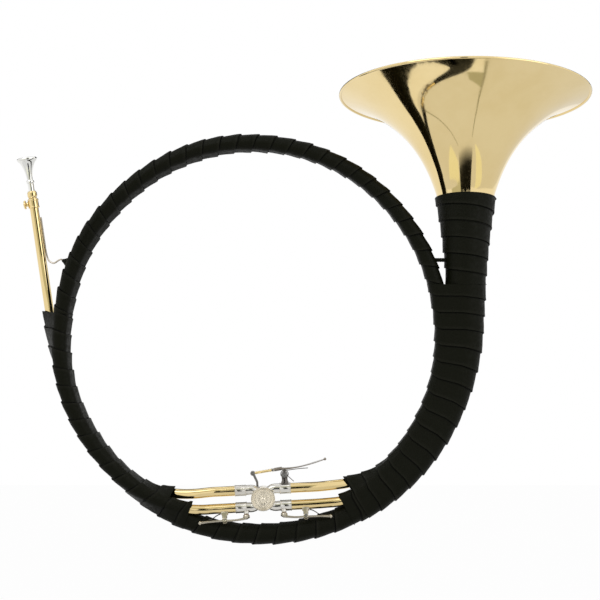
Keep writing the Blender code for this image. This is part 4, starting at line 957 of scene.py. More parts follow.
def wind_leather():
    pair = (loop_circle, main_circle)
    lined = {"leather": BUNDLE_LEATHER, "room": BUNDLE_ROOM}
    ring_winding("ring_wrap_left", SPLITS[4], SPLITS[3], pair, RING_PITCH, 48,
                 leather=RING_LEATHER, phase=0.49, seed=0.3)
    ring_winding("ring_wrap_right", SPLITS[3], SPLITS[2], pair, RING_PITCH, 48,
                 leaning_section, leather=RING_LEATHER, phase=0.48, seed=1.9)
    ring_winding("left_wrap", SPLITS[5], SPLITS[4], (loop_circle, pipe_circle, main_circle),
                 RING_PITCH, 64, phase=0.3, seed=2.7, **lined)
    ring_winding("lower_left_sleeve", SPLITS[6], SPLITS[5], pair, BOTTOM_PITCH, 48,
                 phase=0.5, seed=3.1, **lined)
    ring_winding("bottom_wrap", SPLITS[7], SPLITS[6], (main_circle,), BOTTOM_PITCH, 48,
                 leather=BELL_LEATHER, room=BELL_ROOM, seed=4.4)
    ring_winding("lower_right_sleeve", SPLITS[1], SPLITS[0], (loop_circle, branch_circle),
                 BOTTOM_PITCH, 48, phase=0.2, seed=5.0)
    lap = radians(LEATHER_LAP) * RING_RADIUS
    top = BELL_BEND_START + 2 * lap
    turn_end = SPLITS[1] - LEATHER_LAP

    def section(distance):
        if distance < top:
            return level_section(top - distance, pair)
        return ring_section(-degrees((distance - top) / RING_RADIUS),
                            (loop_circle, main_circle, branch_circle))

    winding("right_wrap", section, top + radians(-turn_end) * RING_RADIUS, RIGHT_PITCH, 72,
            seed=5.8, **lined)
    stretch = 1.01
    winding("bell_wrap", lambda d: branch_section(WRAP_TOP - d / stretch),
            (WRAP_TOP - top + lap) * stretch, BELL_PITCH, 72,
            leather=BELL_LEATHER, room=BELL_ROOM, seed=6.6)


# Brass of the ring

def bend_pipes():
    shape = bmesh.new()
    way = [PIPE_IN_RING @ Vector((0, 0, -d)) for d in (PIPE_START, 0.100, 0.150)]
    way += route_points(pipe_circle, stations(SPLITS[4], PIPE_JOINT - JOINT_HALF))
    steps = 8
    points = smooth_points(way, steps)
    slim = 2 * steps
    radii = [PIPE_TOP_RADIUS + (PIPE_LOW_RADIUS - PIPE_TOP_RADIUS) * min(i / slim, 1)
             for i in range(len(points))]
    add_tube(shape, RING, points, radii, TUBE_WALL, 48)
    fit("mouthpipe_brass", shape, BRASS, "mouthpipe")
    half = JOINT_HALF
    for name, circle_at, last in (("main_tube", main_circle, BRANCH_JOINT - half),
                                  ("eb_loop", loop_circle, LOOP_JOINT - half)):
        angles = even_steps(RIGHT_JOINT + half, last, 70)
        shape = bmesh.new()
        add_tube(shape, RING, route_points(circle_at, angles), TUBE_RADIUS, TUBE_WALL)
        fit(name + "_brass", shape, BRASS, name)
    angles = even_steps(BRANCH_JOINT + half, 360.0, 90)
    points = route_points(main_circle, angles)
    radii = [main_circle(angle)[2] for angle in angles]
    for height in even_steps(0.0, EDGE_HEIGHT - BELL_TAIL - 0.0003, 30)[1:]:
        points.append(branch_centre(height))
        radii.append(flare(EDGE_HEIGHT - height))
    shape = bmesh.new()
    add_tube(shape, RING, points, radii, TUBE_WALL, 48)
    fit("bell_branch_brass", shape, BRASS, "bell_branch")
    legs = {
        "upper_left": (pipe_circle, stations(PIPE_JOINT + half, SPLITS[5]),
                       ((-80.0, -1.4, -194.4), (-64.0, -5.6, -193.3)), -0.0617, PORT_OFFSET),
        "lower_left": (loop_circle, stations(LOOP_JOINT + half, SPLITS[6]),
                       ((-59.0, -7.2, -212.5),), -0.0580, -PORT_OFFSET),
        "upper_right": (main_circle, stations(SPLITS[1], RIGHT_JOINT - half)[::-1],
                        ((97.0, -5.4, -183.2), (79.0, -6.8, -184.9)), 0.0480, PORT_OFFSET),
        "lower_right": (loop_circle, stations(SPLITS[0], RIGHT_JOINT - half)[::-1],
                        ((89.0, -7.2, -204.3),), 0.0550, -PORT_OFFSET),
    }
    valve_in_ring = RING.inverted() @ VALVE
    for side, (circle_at, angles, free, straight, up) in legs.items():
        sign = 1 if straight > 0 else -1
        inside = route_points(circle_at, angles)
        way = inside + [Vector(point) * MM for point in free]
        way.append(valve_in_ring @ Vector((straight, 0, up)))
        way.append(valve_in_ring @ Vector((straight - sign * 0.012, 0, up)))
        points = smooth_points(way, 12, len(inside) - 1)
        points.append(valve_in_ring @ Vector((sign * (KNUCKLE_END + 0.0001), 0, up)))
        shape = bmesh.new()
        add_tube(shape, RING, points, TUBE_RADIUS, TUBE_WALL, 48)
        fit("leg_brass_" + side, shape, BRASS, "leg_" + side)


def spin_bell():
    """The bell about its own leaning axis, with a wire rolled into the rim."""
    axis = Vector((tan(BELL_LEAN), tan(BELL_TILT), 1)).normalized()
    stand = RING @ Matrix.Translation(branch_centre(EDGE_HEIGHT)) \
        @ axis.to_track_quat("Z", "Y").to_matrix().to_4x4()

    def radius(height):
        if height < 0:
            return flare(-height)
        pole = BELL_LENGTH + BELL_POLE
        mouth = BELL_RIM_RADIUS * (BELL_POLE / pole) ** 2
        lift = (BRANCH_MOUTH_RADIUS - mouth) * (1 - height / BELL_LENGTH)
        near = max(0.0, 1 - (BELL_LENGTH - height) / RIM_SWEEP)
        return BELL_RIM_RADIUS * (BELL_POLE / (pole - height)) ** 2 + lift \
            - RIM_HOLLOW * (near**2 - near**3)

    steps = 72
    heights = [BELL_LENGTH * (1 - (i / steps) ** 1.25) for i in range(steps + 1)]
    heights += [-BELL_TAIL * i / 4 for i in range(1, 5)]
    outside = [(radius(h), h) for h in heights]
    inside = []
    for i, (r, h) in enumerate(outside):
        before, after = outside[max(i - 1, 0)], outside[min(i + 1, len(outside) - 1)]
        run = Vector((after[0] - before[0], after[1] - before[1])).normalized()
        inside.append((r + run.y * BELL_WALL, h - run.x * BELL_WALL))
    lip = (BELL_RIM_RADIUS - 0.0002, BELL_LENGTH)
    wire = arc(lip, RIM_WIRE_RADIUS, 165, -150, 20)
    fit_turned("spun_bell", stand, wire + outside[1:] + inside[:0:-1], 192, BRASS, "bell",
               corner=0.0, sharp=60)


# Change valve

def build_valve():
    back = VALVE @ TO_BACK
    inner = CASING_RADIUS - 0.0015
    hole = SHAFT_RADIUS + 0.0004
    wall = CASING_HALF - 0.0018
    fit_turned("casing_drum", back, [
        (CASING_RADIUS - 0.0004, CASING_HALF), (CASING_RADIUS, CASING_HALF - 0.0004),
        (CASING_RADIUS, CASING_HALF - 0.0022), (CASING_RADIUS - 0.0003, CASING_HALF - 0.0026),
        (CASING_RADIUS - 0.0003, -0.0082), (CASING_RADIUS, -0.0086),
        (CASING_RADIUS, -CASING_HALF), (inner, -CASING_HALF), (inner, wall), (hole, wall),
        (hole, CASING_HALF)], 96, NICKEL, "valve_casing", corner=0.0003)
    knuckle = ((KNUCKLE_END, PORT_OFFSET), (0.0185, 0.01035), (0.0145, 0.0105),
               (0.0112, 0.0098), (0.0085, 0.0080), (0.0062, 0.0058))
    bore, rim = TUBE_RADIUS + 0.00003, TUBE_RADIUS + FERRULE_WALL
    for side, side_name in ((-1, "left"), (1, "right")):
        for level, level_name in ((1, "upper"), (-1, "lower")):
            name = level_name + "_" + side_name
            way = smooth_points([(side * a, 0, level * b) for a, b in knuckle], 6)
            shape = bmesh.new()
            add_tube(shape, VALVE, way, TUBE_RADIUS, TUBE_WALL, 48)
            fit("knuckle_nickel_" + name, shape, NICKEL, "knuckle_" + name)
            aim = VALVE @ Matrix.Translation((side * FERRULE_START, 0, level * PORT_OFFSET)) \
                @ Matrix.Rotation(side * pi / 2, 4, "Y")
            bead = 0.0011
            profile = [(bore, 0), (rim - 0.0002, 0), (rim, 0.0003), (rim, bead),
                       (rim - 0.0003, bead + 0.0003),
                       (rim - 0.0003, FERRULE_LENGTH - bead - 0.0003),
                       (rim, FERRULE_LENGTH - bead), (rim, FERRULE_LENGTH - 0.0003),
                       (rim - 0.0003, FERRULE_LENGTH), (bore, FERRULE_LENGTH)]
            fit_turned("ferrule_nickel_" + name, aim, profile, 56, NICKEL, "ferrule_" + name)
    make_cap(back)
    make_stop_work(back, hole)


def make_cap(back):
    """The screwed cap: a coin edge, turned circles and a plain rosette of petals."""
    seat, skirt = -CASING_HALF - 0.0001, CASING_RADIUS + 0.0002
    front = -CAP_FRONT + 0.0004
    edge = CAP_RADIUS - 0.0003
    fit_turned("cap_disc", back, [
        (0, seat), (skirt, seat), (skirt, -0.0092), (edge, -0.0092), (edge, front + 0.0009),
        (edge - 0.0007, front), (0.0128, front), (0.0126, front + 0.0002),
        (0.0122, front + 0.0002), (0.0120, front - 0.0001), (0.0117, front - 0.0001),
        (0.0115, front + 0.00025), (0.0078, front + 0.00025), (0.0076, front),
        (0.0072, front), (0.0070, front + 0.0002), (0.0021, front + 0.00015),
        (0.0015, front - 0.00035), (0, front - 0.00045)],
        120, CAP_SILVER, "valve_cap", corner=0.0001, corner_steps=2, sharp=30)
    beads = ring_of_beads(CAP_SILVER)
    relief = back @ Matrix.Translation((0, 0, front + 0.00015))
    rim = back @ Matrix.Translation((0, 0, -0.0121))
    for name, stand, sizes in (
            ("cap_coin_edge", rim, {"count": 96, "circle": edge - 0.0001, "length": 0.0004,
                                    "width": 0.00030, "height": 0.0022}),
            ("cap_long_petals", relief, {"count": 32, "circle": 0.00965, "length": 0.0017,
                                         "width": 0.00055, "height": 0.0003}),
            ("cap_pearls", relief, {"count": 32, "circle": 0.0110, "length": 0.00038,
                                    "width": 0.00038, "height": 0.0003,
                                    "start": pi / 32}),
            ("cap_rosette", relief, {"count": 12, "circle": 0.0045, "length": 0.0021,
                                     "width": 0.00085, "height": 0.00032})):
        fit(name, beads.made(stand, **sizes), CAP_SILVER)


def make_stop_work(back, hole):
    """The stop plate with its corks, and the arm that turns between them."""
    low, top = CASING_HALF + 0.0001, CASING_HALF + 0.0016
    cup_top, cork_top = top + 0.0016, 0.0164
    shape = bmesh.new()
    add_turned(shape, back, [(0.0128, top), (0.0128, low), (hole, low), (hole, top)], 72, 0.0003)
    swing = degrees((STOP_BAR / 2 + CORK_RADIUS + 0.0003) / STOP_RADIUS)
    for name, angle in (("rest", 45 + swing), ("pressed", -45 - swing)):
        spot = at_valve((STOP_RADIUS * cos(radians(angle)), STOP_RADIUS * sin(radians(angle))))
        add_turned(shape, spot, [
            (CORK_RADIUS + 0.0001, top - 0.0002), (CORK_RADIUS + 0.0009, top - 0.0002),
            (CORK_RADIUS + 0.0009, cup_top), (CORK_RADIUS + 0.0001, cup_top)], 32, 0.0002)
        fit_turned("cork_stop_" + name, spot, rod_profile(CORK_RADIUS, top, cork_top), 28,
                   CORK, "stop_cork_" + name, corner=0.0003)
    fit("stop_plate_nickel", shape, NICKEL, "stop_plate")
    arm_low, arm_high = cup_top + 0.0003, 0.0164
    middle, width = (arm_high + arm_low) / 2, arm_high - arm_low
    turn = VALVE @ Matrix.Rotation(-radians(45), 4, "Y")
    shape = bmesh.new()
    add_turned(shape, back, [(0.0037, arm_high), (0.0037, top + 0.0005),
                             (hole, top + 0.0005), (hole, arm_high)], 48, 0.0003)
    for near, far in ((-PIN_CIRCLE, -hole - 0.0006), (hole + 0.0006, STOP_RADIUS + 0.0013)):
        add_block(shape, turn, (far - near, width, STOP_BAR), ((near + far) / 2, middle, 0),
                  0.0003)
    spot = turn @ Matrix.Translation((-PIN_CIRCLE, 0, 0)) @ TO_BACK
    add_turned(shape, spot, [
        (0, arm_low), (0.0021, arm_low), (0.0021, arm_high), (PIN_RADIUS, arm_high),
        (PIN_RADIUS, LINK_DEPTH + LINK_THICK), (0, LINK_DEPTH + LINK_THICK)], 32, 0.0002)
    fit("stop_arm_steel", shape, STEEL, "stop_arm", body="rotor")
    fit_screw("stop_screw_steel", "stop_screw", back, (0.0024, 0.0168, 0.0182),
              (0.0010, 0.0140), (0.0006, 0.008, 0.0006), body="rotor")


# Lever and link

def build_lever_work():
    make_link()
    slope = atan2(ROD_END[1] - BALL_JOINT[1], ROD_END[0] - BALL_JOINT[0])
    rod = VALVE @ Matrix.Translation((BALL_JOINT[0], LEVER_DEPTH, BALL_JOINT[1])) \
        @ Matrix.Rotation(-slope, 4, "Y") @ ALONG_X
    rod_length = (Vector(ROD_END) - Vector(BALL_JOINT)).length
    socket_end = (Vector(SOCKET_END) - Vector(BALL_JOINT)).length
    make_adjusting_rod(rod, rod_length, socket_end)
    make_lever(rod, rod_length, socket_end)
    make_post()
    make_lever_spring()


def make_link():
    eye = (-PIN_CIRCLE * cos(pi / 4) - EYE_SHIFT, -PIN_CIRCLE * sin(pi / 4))
    bore = PIN_RADIUS + EYE_PLAY
    half = 0.0013
    aim = VALVE @ Matrix.Translation((0, LINK_DEPTH, 0)) @ Matrix.Rotation(pi / 2, 4, "X")
    top_turn = degrees(atan2(BALL_JOINT[1] - LINK_BEND[1], BALL_JOINT[0] - LINK_BEND[0]))
    outline = arc(eye, bore + 0.0012, 90 + 25, 360 + 90 - 25, 40)
    outline.append((LINK_BEND[0] + half, LINK_BEND[1] + 0.0003))
    outline += arc(BALL_JOINT, 0.0026, top_turn - 180 + 35, top_turn + 180 - 35, 28)
    outline.append((LINK_BEND[0] - half, LINK_BEND[1] - 0.0003))
    shape = bmesh.new()
    add_plate(shape, aim, [outline, circle(eye, bore)], LINK_THICK / 2, 0.0002)
    stud = at_valve(BALL_JOINT)
    front = LEVER_DEPTH - 0.0034
    add_turned(shape, stud, rod_profile(0.0012, front, LINK_DEPTH), 28, 0.0003)
    fit("link_steel", shape, STEEL, "link", body="link")


def make_adjusting_rod(rod, length, socket_end):
    thread_end = socket_end - 0.0016
    shape = bmesh.new()
    add_turned(shape, rod, [
        (0, thread_end), (0.0010, thread_end), (0.0010, length), (0.0017, length - 0.0002),
        (0.0018, length - 0.0012), (0.0016, length - 0.0020), (0.0016, 0.0035),
        (0.0013, 0.0026), (0.0013, 0.0008), (0, 0.0008)], 32, 0.0002)
    thread = wound_wire(BRASS).made(rod @ Matrix.Translation((0, 0, length + 0.0002)),
                                    turns=7.0, radius=0.00098, height=0.0032, wire=0.00020)
    shape.from_mesh(thread)
    fit("adjusting_rod_brass", shape, BRASS, "adjusting_rod", body="lever")
    # The ball's eye has a dark steel ring round a bright stud
    fit_turned("ball_eye", at_valve(BALL_JOINT, LEVER_DEPTH), [
        (0.0014, 0.0022), (0.0024, 0.0019), (0.0030, 0.0008), (0.0030, -0.0008),
        (0.0024, -0.0019), (0.0014, -0.0022)], 40, STEEL, corner=0.0004, body="lever")
    nut = 0.00105
    fit_turned("lock_nut_nickel", rod, [
        (0.0021, length + 0.0030), (0.0024, length + 0.0027), (0.0024, length + 0.0007),
        (0.0021, length + 0.0004), (nut, length + 0.0004), (nut, length + 0.0030)], 6,
        NICKEL, "lock_nut", corner=0.0, sharp=20, body="lever")


def make_lever(rod, rod_length, socket_end):
    """The thumb lever: a leaf-shaped blade, its hub, the web and the socket."""
    blade = ((23.0, 32.4, 2.0, 3.0), (30.0, 32.4, 2.6, 2.4), (38.0, 33.0, 3.4, 1.7),
             (48.0, 34.4, 4.8, 1.4), (58.0, 36.5, 6.0, 1.3), (67.0, 38.8, 6.2, 1.2),
             (72.0, 40.2, 5.0, 1.2), (75.4, 41.1, 2.4, 1.2))
    rings = []
    for k in range(57):
        a = blade[0][0] + (blade[-1][0] - blade[0][0]) * k / 56
        b, half, thick = smooth_value(blade, a)
        ring = []
        for i in range(24):
            angle = 2 * pi * i / 24
            side = abs(cos(angle)) ** 0.55 * (1 if cos(angle) > 0 else -1)
            rise = abs(sin(angle)) ** 0.55 * (1 if sin(angle) > 0 else -1)
            # The thumb's side is a little hollow
            dish = 0.35 * min(max((a - 40) / 15, 0), 1) * (side * side - 0.5)
            ring.append((a * MM, LEVER_DEPTH + side * half * MM,
                         (b + rise * thick / 2 + dish) * MM))
        rings.append(ring)
    shape = bmesh.new()
    add_loft(shape, VALVE, rings)
    hinge = at_valve(HINGE)
    front = LEVER_DEPTH - HUB_LENGTH / 2
    rear = LEVER_DEPTH + HUB_LENGTH / 2
    bore = AXLE_RADIUS + 0.0002
    add_turned(shape, hinge, [(HUB_RADIUS, rear), (HUB_RADIUS, front), (bore, front),
                              (bore, rear)], 48, 0.0003)
    add_block(shape, VALVE, (0.0036, 0.0046, 0.0318 - HINGE[1]),
              (HINGE[0], LEVER_DEPTH, (HINGE[1] + 0.0318) / 2), 0.0006)
    add_turned(shape, rod, [
        (0.0010, socket_end + 0.0004), (0.0021, socket_end), (0.0021, rod_length + 0.0042),
        (0.0019, rod_length + 0.0034), (0.0010, rod_length + 0.0034)], 36, 0.0002)
    add_ball(shape, VALVE, (LEVER_TIP[0], LEVER_DEPTH, LEVER_TIP[1]), 0.0017)
    fit("thumb_lever", shape, LEVER_NICKEL, "lever", body="lever")
    fit_screw("axle_screw_steel", "axle_screw", hinge, (0.0029, rear + 0.0003, rear + 0.0018),
              (AXLE_RADIUS, -POST_HALF_DEPTH - 0.0006), (0.0006, 0.008, 0.0008))


def make_post():
    """The lever's post: a saddle on the ferrule with a bored head and a dark bush."""
    middle, waist = HINGE[0], 0.0200
    foot_half, waist_half, head = 0.0044, 0.0034, 0.0038
    foot = PORT_OFFSET + 0.0050
    outline = [(middle - foot_half, foot), (middle + foot_half, foot),
               (middle + foot_half, 0.0180), (middle + waist_half, waist)]
    outline += arc(HINGE, head, -20, 200, 36)
    outline += [(middle - waist_half, waist), (middle - foot_half, 0.0180)]
    shape = bmesh.new()
    add_plate(shape, VALVE @ Matrix.Rotation(pi / 2, 4, "X"),
              [outline, circle(HINGE, AXLE_RADIUS + 0.0001)], POST_HALF_DEPTH, 0.0004)
    fit("lever_post_nickel", shape, POST_NICKEL, "lever_post", sharp=20)
    fit_turned("post_bush", at_valve(HINGE, -POST_HALF_DEPTH), [
        (AXLE_RADIUS, -0.0007), (0.0030, -0.0007), (0.0030, 0.0002), (AXLE_RADIUS, 0.0002)],
        40, STEEL)


def make_lever_spring():
    """A torsion spring round the hub, one leg under the blade, one on the tube."""
    wire, turns, per_turn = 0.0005, 2, 36
    coil = HUB_RADIUS + wire + 0.0006
    pitch, start = 2 * wire + 0.0003, LEVER_DEPTH - HUB_LENGTH / 2 + 0.0004
    upper_end, lower_end = (0.0553, 0.0321), (0.0375, 0.0172)
    count = turns * per_turn
    first, last = -35.0, 62.0
    way = [Vector((lower_end[0], start, lower_end[1]))]
    for i in range(count + 1):
        part = i / count
        angle = radians(first - part * (360 * turns - (last - first)))
        way.append(Vector((HINGE[0] + coil * cos(angle), start + part * turns * pitch,
                           HINGE[1] + coil * sin(angle))))
    way.append(Vector((upper_end[0] - 0.012, way[-1].y, upper_end[1] - 0.0003)))
    way.append(Vector((upper_end[0], way[-1].y, upper_end[1])))
    shape = bmesh.new()
    add_tube(shape, VALVE, smooth_points(way, 2), wire, None, 14)
    below, above = (VALVE @ Vector((HINGE[0], start, HINGE[1] + rise))
                    for rise in (-0.001, 0.002))
    fit("lever_spring_wire", shape, STEEL, "lever_spring", body=("horn", "lever"),
        bend=(below, above))


# Water keys

def build_water_key(side):
    """One water key: nipple, cork, cup with its rod, saddle, screw and leaf spring."""
    sign = 1 if side == "right" else -1
    out = Vector((sign, 0, 0))
    away = Vector((0, -sin(KEY_TILT), -cos(KEY_TILT)))
    turn = Matrix((out, away.cross(out), away)).transposed().to_4x4()
    stand = VALVE @ Matrix.Translation((sign * KEY_POST[side], 0, -PORT_OFFSET)) @ turn
    body = "key_" + side
    spot = stand @ Matrix.Translation((-KEY_REACH, 0, 0))
    fit_turned("water_nipple_nickel_" + side, spot, [
        (NIPPLE_RADIUS - 0.0006, NIPPLE_TOP), (NIPPLE_RADIUS, 0.0084),
        (NIPPLE_RADIUS - 0.0002, 0.0078), (NIPPLE_RADIUS + 0.0001, 0.0068),
        (NIPPLE_RADIUS + 0.0009, 0.0054), (0.0014, 0.0050), (0.0014, NIPPLE_TOP)], 36,
        NICKEL, "water_nipple_" + side)
    cork_low, cup_low = NIPPLE_TOP + 0.0003, NIPPLE_TOP + 0.0014
    cork_top, cup_top = cup_low + 0.0012, cup_low + 0.0030
    fit_turned("water_cork_disc_" + side, spot,
               rod_profile(KEY_CORK_RADIUS, cork_low, cork_top), 36, CORK,
               "water_cork_" + side, corner=0.0003, body=body)
    shape = bmesh.new()
    recess = KEY_CORK_RADIUS + 0.0001
    add_turned(shape, spot, [
        (0, cup_top + 0.0010), (0.0016, cup_top + 0.0010), (0.0026, cup_top + 0.0001),
        (KEY_CUP_RADIUS - 0.0003, cup_top - 0.0006), (KEY_CUP_RADIUS, cup_top - 0.0010),
        (KEY_CUP_RADIUS - 0.0002, cup_low + 0.0006), (KEY_CUP_RADIUS, cup_low + 0.0002),
        (KEY_CUP_RADIUS, cup_low), (recess, cup_low), (recess, cork_top + 0.0001),
        (0, cork_top + 0.0001)], 40, 0.0003)
    tail = 0.0012
    way = smooth_points([(-KEY_REACH, 0, cup_top), (-KEY_REACH / 2, 0, KEY_PIVOT + 0.0001),
                         (0, 0, KEY_PIVOT), (KEY_TAIL * 0.6, 0, KEY_PIVOT + tail / 3),
                         (KEY_TAIL, 0, KEY_PIVOT + tail)], 8)
    radii = [KEY_ROD * (1.0 + 0.25 * cos(pi * i / (len(way) - 1)) ** 8 - 0.08)
             for i in range(len(way))]
    add_tube(shape, stand, way, radii, None, 24)
    add_ball(shape, stand, way[-1], KEY_BALL)
    pivot = stand @ Matrix.Translation((0, 0, KEY_PIVOT)) @ TO_BACK
    wide = BARREL_WIDTH / 2
    add_turned(shape, pivot, rod_profile(BARREL_RADIUS, wide, -wide), 32, 0.0002)
    fit("water_key_nickel_" + side, shape, KEY_NICKEL, "water_key_" + side, body=body)
    make_saddle(side, stand, pivot)
    half, thick = 0.0014, 0.0004
    leaf = ((4.6, 6.8), (8.0, 7.8), (12.0, 10.4), (16.0, 13.4), (19.0, 13.9))
    rings = []
    for p in smooth_points([(x, 0.0, z) for x, z in leaf], 6):
        x, z = p.x * MM, p.z * MM
        rings.append([(x, -half, z - thick / 2), (x, half, z - thick / 2),
                      (x, half, z + thick / 2), (x, -half, z + thick / 2)])
    shape = bmesh.new()
    add_loft(shape, stand, rings)
    fit("key_leaf_spring_" + side, shape, STEEL, "key_spring_" + side, body=("horn", body),
        bend=(stand @ Vector((0.0055, 0, 0.0071)), stand @ Vector((0.0160, 0, 0.0134))))


def make_saddle(side, stand, pivot):
    """A waisted post with two ears and a flared foot, and the pivot screw."""
    half = BARREL_WIDTH / 2 + 0.0003
    hub = (0.0, KEY_PIVOT)
    outline = [(-0.0042, 0.0052), (0.0042, 0.0052), (0.0042, 0.0066), (0.0030, 0.0080),
               (0.0021, 0.0098)]
    outline += arc(hub, 0.0030, -35, 215, 30)
    outline += [(-0.0021, 0.0098), (-0.0030, 0.0080), (-0.0042, 0.0066)]
    shape = bmesh.new()
    aim = stand @ Matrix.Rotation(pi / 2, 4, "X")
    ear = EAR_THICK / 2
    for depth in (half + ear, -half - ear):
        add_plate(shape, aim @ Matrix.Translation((0, 0, depth)),
                  [outline, circle(hub, 0.0010, 24)], ear, 0.0002)
    add_block(shape, stand, (0.0060, 2 * half + EAR_THICK, 0.0052), (0, 0, 0.0086), 0.0003)
    fit("key_saddle_nickel_" + side, shape, KEY_NICKEL, "key_saddle_" + side, sharp=20)
    fit_screw("key_screw_steel_" + side, "key_screw_" + side, pivot, (0.0018, 0.0040, 0.0056),
              (0.0009, -0.0040), (0.0005, 0.005, 0.0006), 28, cone=0.0002)


# Mouthpiece end

def build_mouthpiece_end():
    cup = smooth_profile([(0.0106, 0.0), (0.0114, -0.0003), (MOUTHPIECE_RADIUS, -0.0016),
                          (0.0115, -0.0032), (0.0094, -0.0055), (0.0070, -0.0100),
                          (0.0049, -0.0165), (0.0036, -0.0240), (0.0033, -0.0268)])
    bead = rounded([(0.0033, -0.0270), (0.0040, -0.0274), (0.0046, -0.0286),
                    (0.0046, -0.0304), (0.0040, -0.0313), (0.0036, -0.0316)], 0.0005,
                   closed=False)
    stem = [(0.0036, -0.0320), (0.0036, -0.0405), (0.0031, -0.0620), (0.0023, -0.0620)]
    bowl = smooth_profile([(0.0018, -0.0270), (0.0026, -0.0200), (0.0038, -0.0140),
                           (0.0060, -0.0070), (0.0080, -0.0022), (0.0092, -0.0003),
                           (0.0099, 0.0001)])
    fit_turned("mouthpiece_silver", PIPE_HEAD, cup + bead + stem + bowl, 96, SILVER,
               "mouthpiece", corner=0.0, body="mouthpiece")
    full, waist = 0.0058, SHANK_RADIUS
    top, low = -SHANK_START, -PIPE_START + 0.0004
    fit_turned("tuning_shank_brass", PIPE_HEAD, [
        (0.0044, top), (0.0050, top - 0.0004), (0.0050, top - 0.0010),
        (full, top - 0.0020), (full, low + 0.0022), (0.0050, low + 0.0010),
        (0.0052, low + 0.0004), (0.0050, low), (waist, low), (waist, -0.1050),
        (waist - 0.0005, -0.1050), (waist - 0.0005, -0.0640), (0.0037, -0.0630),
        (0.0037, top)], 64, BRASS, "tuning_shank", corner=0.0004, body="shank")
    bore = PIPE_TOP_RADIUS + 0.0001
    rim = PIPE_TOP_RADIUS + 0.0003 + COLLAR_WALL
    shape = bmesh.new()
    add_turned(shape, PIPE_HEAD, [
        (rim - 0.0006, -COLLAR_START), (rim, -COLLAR_START - 0.0006),
        (rim, -COLLAR_START - 0.0018), (rim - 0.0004, -COLLAR_START - 0.0023),
        (rim - 0.0004, -COLLAR_END + 0.0023), (rim, -COLLAR_END + 0.0018),
        (rim, -COLLAR_END + 0.0006), (rim - 0.0006, -COLLAR_END), (bore, -COLLAR_END),
        (bore, -COLLAR_START)], 64, 0.0003)
    side = PIPE_HEAD @ Matrix.Translation((0, 0, -(COLLAR_START + COLLAR_END) / 2)) \
        @ Matrix.Rotation(-pi / 2, 4, "Y")
    add_turned(shape, side, [(0, bore + 0.0006), (0.0032, bore + 0.0006),
                             (0.0028, rim + 0.0012), (0, rim + 0.0012)], 40, 0.0003)
    fit("clamp_collar_brass", shape, BRASS, "clamp_collar")
    face = rim + 0.0015
    knob = KNOB_RADIUS - 0.0003
    fit_turned("thumbscrew_brass", side, [
        (0, face + 0.0040), (0.0020, face + 0.0040), (0.0030, face + 0.0034),
        (knob - 0.0006, face + 0.0034), (knob, face + 0.0028), (knob, face + 0.0014),
        (0.0024, face + 0.0008), (0.0022, face), (0.0010, face), (0.0010, bore + 0.0002),
        (0, bore + 0.0002)], 56, BRASS, "thumbscrew", corner=0.0003, body="thumbscrew")
    knurl = ring_of_beads(BRASS).made(
        side @ Matrix.Translation((0, 0, face + 0.0021)), count=36, circle=knob - 0.0001,
        length=0.0004, width=0.00032, height=0.0010)
    fit("thumbscrew_knurl", knurl, BRASS, body="thumbscrew")


def build_braces():
    """Wire brace at the mouthpipe with its foot, and the brace between ring and bell."""
    lean = PIPE_TOP_RADIUS + (PIPE_LOW_RADIUS - PIPE_TOP_RADIUS) * 0.7 + BRACE_WIRE
    way = [PIPE_IN_RING @ Vector((lean, 0, -d)) for d in (0.0740, 0.0900, 0.1060, 0.1150)]
    way += [Vector(p) * MM for p in ((-246.4, 13.0, 88.2), (-243.2, 10.4, 84.4),
                                     (-238.0, 8.2, 82.8))]
    foot_top = ring_point(159.3, 0.2418, 0.0070)
    outward = Vector((foot_top.x, 0, foot_top.z)).normalized()
    way += [foot_top + outward * 0.0045, foot_top - outward * 0.0006]
    shape = bmesh.new()
    add_tube(shape, RING, smooth_points(way, 10), BRACE_WIRE, None, 20)
    add_ball(shape, RING, way[0], BRACE_WIRE, 16)
    fit("mouthpipe_brace_wire", shape, WIRE_NICKEL, "mouthpipe_brace")
    aim = RING @ Matrix.Translation(foot_top) @ outward.to_track_quat("Z", "Y").to_matrix() \
        .to_4x4()
    fit_turned("brace_foot_leather", aim, [
        (0, 0.0026), (0.0015, 0.0022), (0.0026, 0.0002), (0.0034, -0.0012),
        (0.0044, -0.0022), (0.0060, -0.0048), (0.0066, -0.0050), (0.0078, -0.0070),
        (0.0078, -0.0085), (0, -0.0085)], 40, LEATHER_NUB, "brace_foot", corner=0.0005)
    height, depth = 0.0862, -0.0040
    span = RING @ Matrix.Translation((0, depth, height)) @ ALONG_X
    left, right = 0.2189, 0.2335
    turns = 5
    profile = [(0, left)]
    for i in range(turns):
        base = left + (right - left) * i / turns
        step = (right - left) / turns
        profile += [(0.0021, base + step * 0.05), (0.0024, base + step * 0.3),
                    (0.0024, base + step * 0.9)]
    profile.append((0, right))
    fit_turned("bell_brace_leather", span, profile, 36, LEATHER_NUB, "bell_brace")


# Studio

SKY_LEVEL = 0.55
FLOOR_LEVEL = -1.15
FLOOR_HALF = 7.0
FLOOR_WHITE = 0.97
# Square lamps: name, place, size and power
LAMPS = (("key_lamp", (-1.3, -1.6, 1.5), 1.6, 16.0),
         ("fill_lamp", (1.7, -1.4, 0.7), 1.8, 9.0),
         ("back_lamp", (0.2, 1.8, 1.4), 1.8, 8.0))
LAMP_AIM = (-0.05, 0.0, -0.15)
CARD_WARMTH = 0.8  # share of blue in a card's grey
# The white board on the floor behind the horn ends at this side and at this front edge
BOARD_SIDE = 0.335
BOARD_FRONT = 0.18
PALE_GREY = 0.82
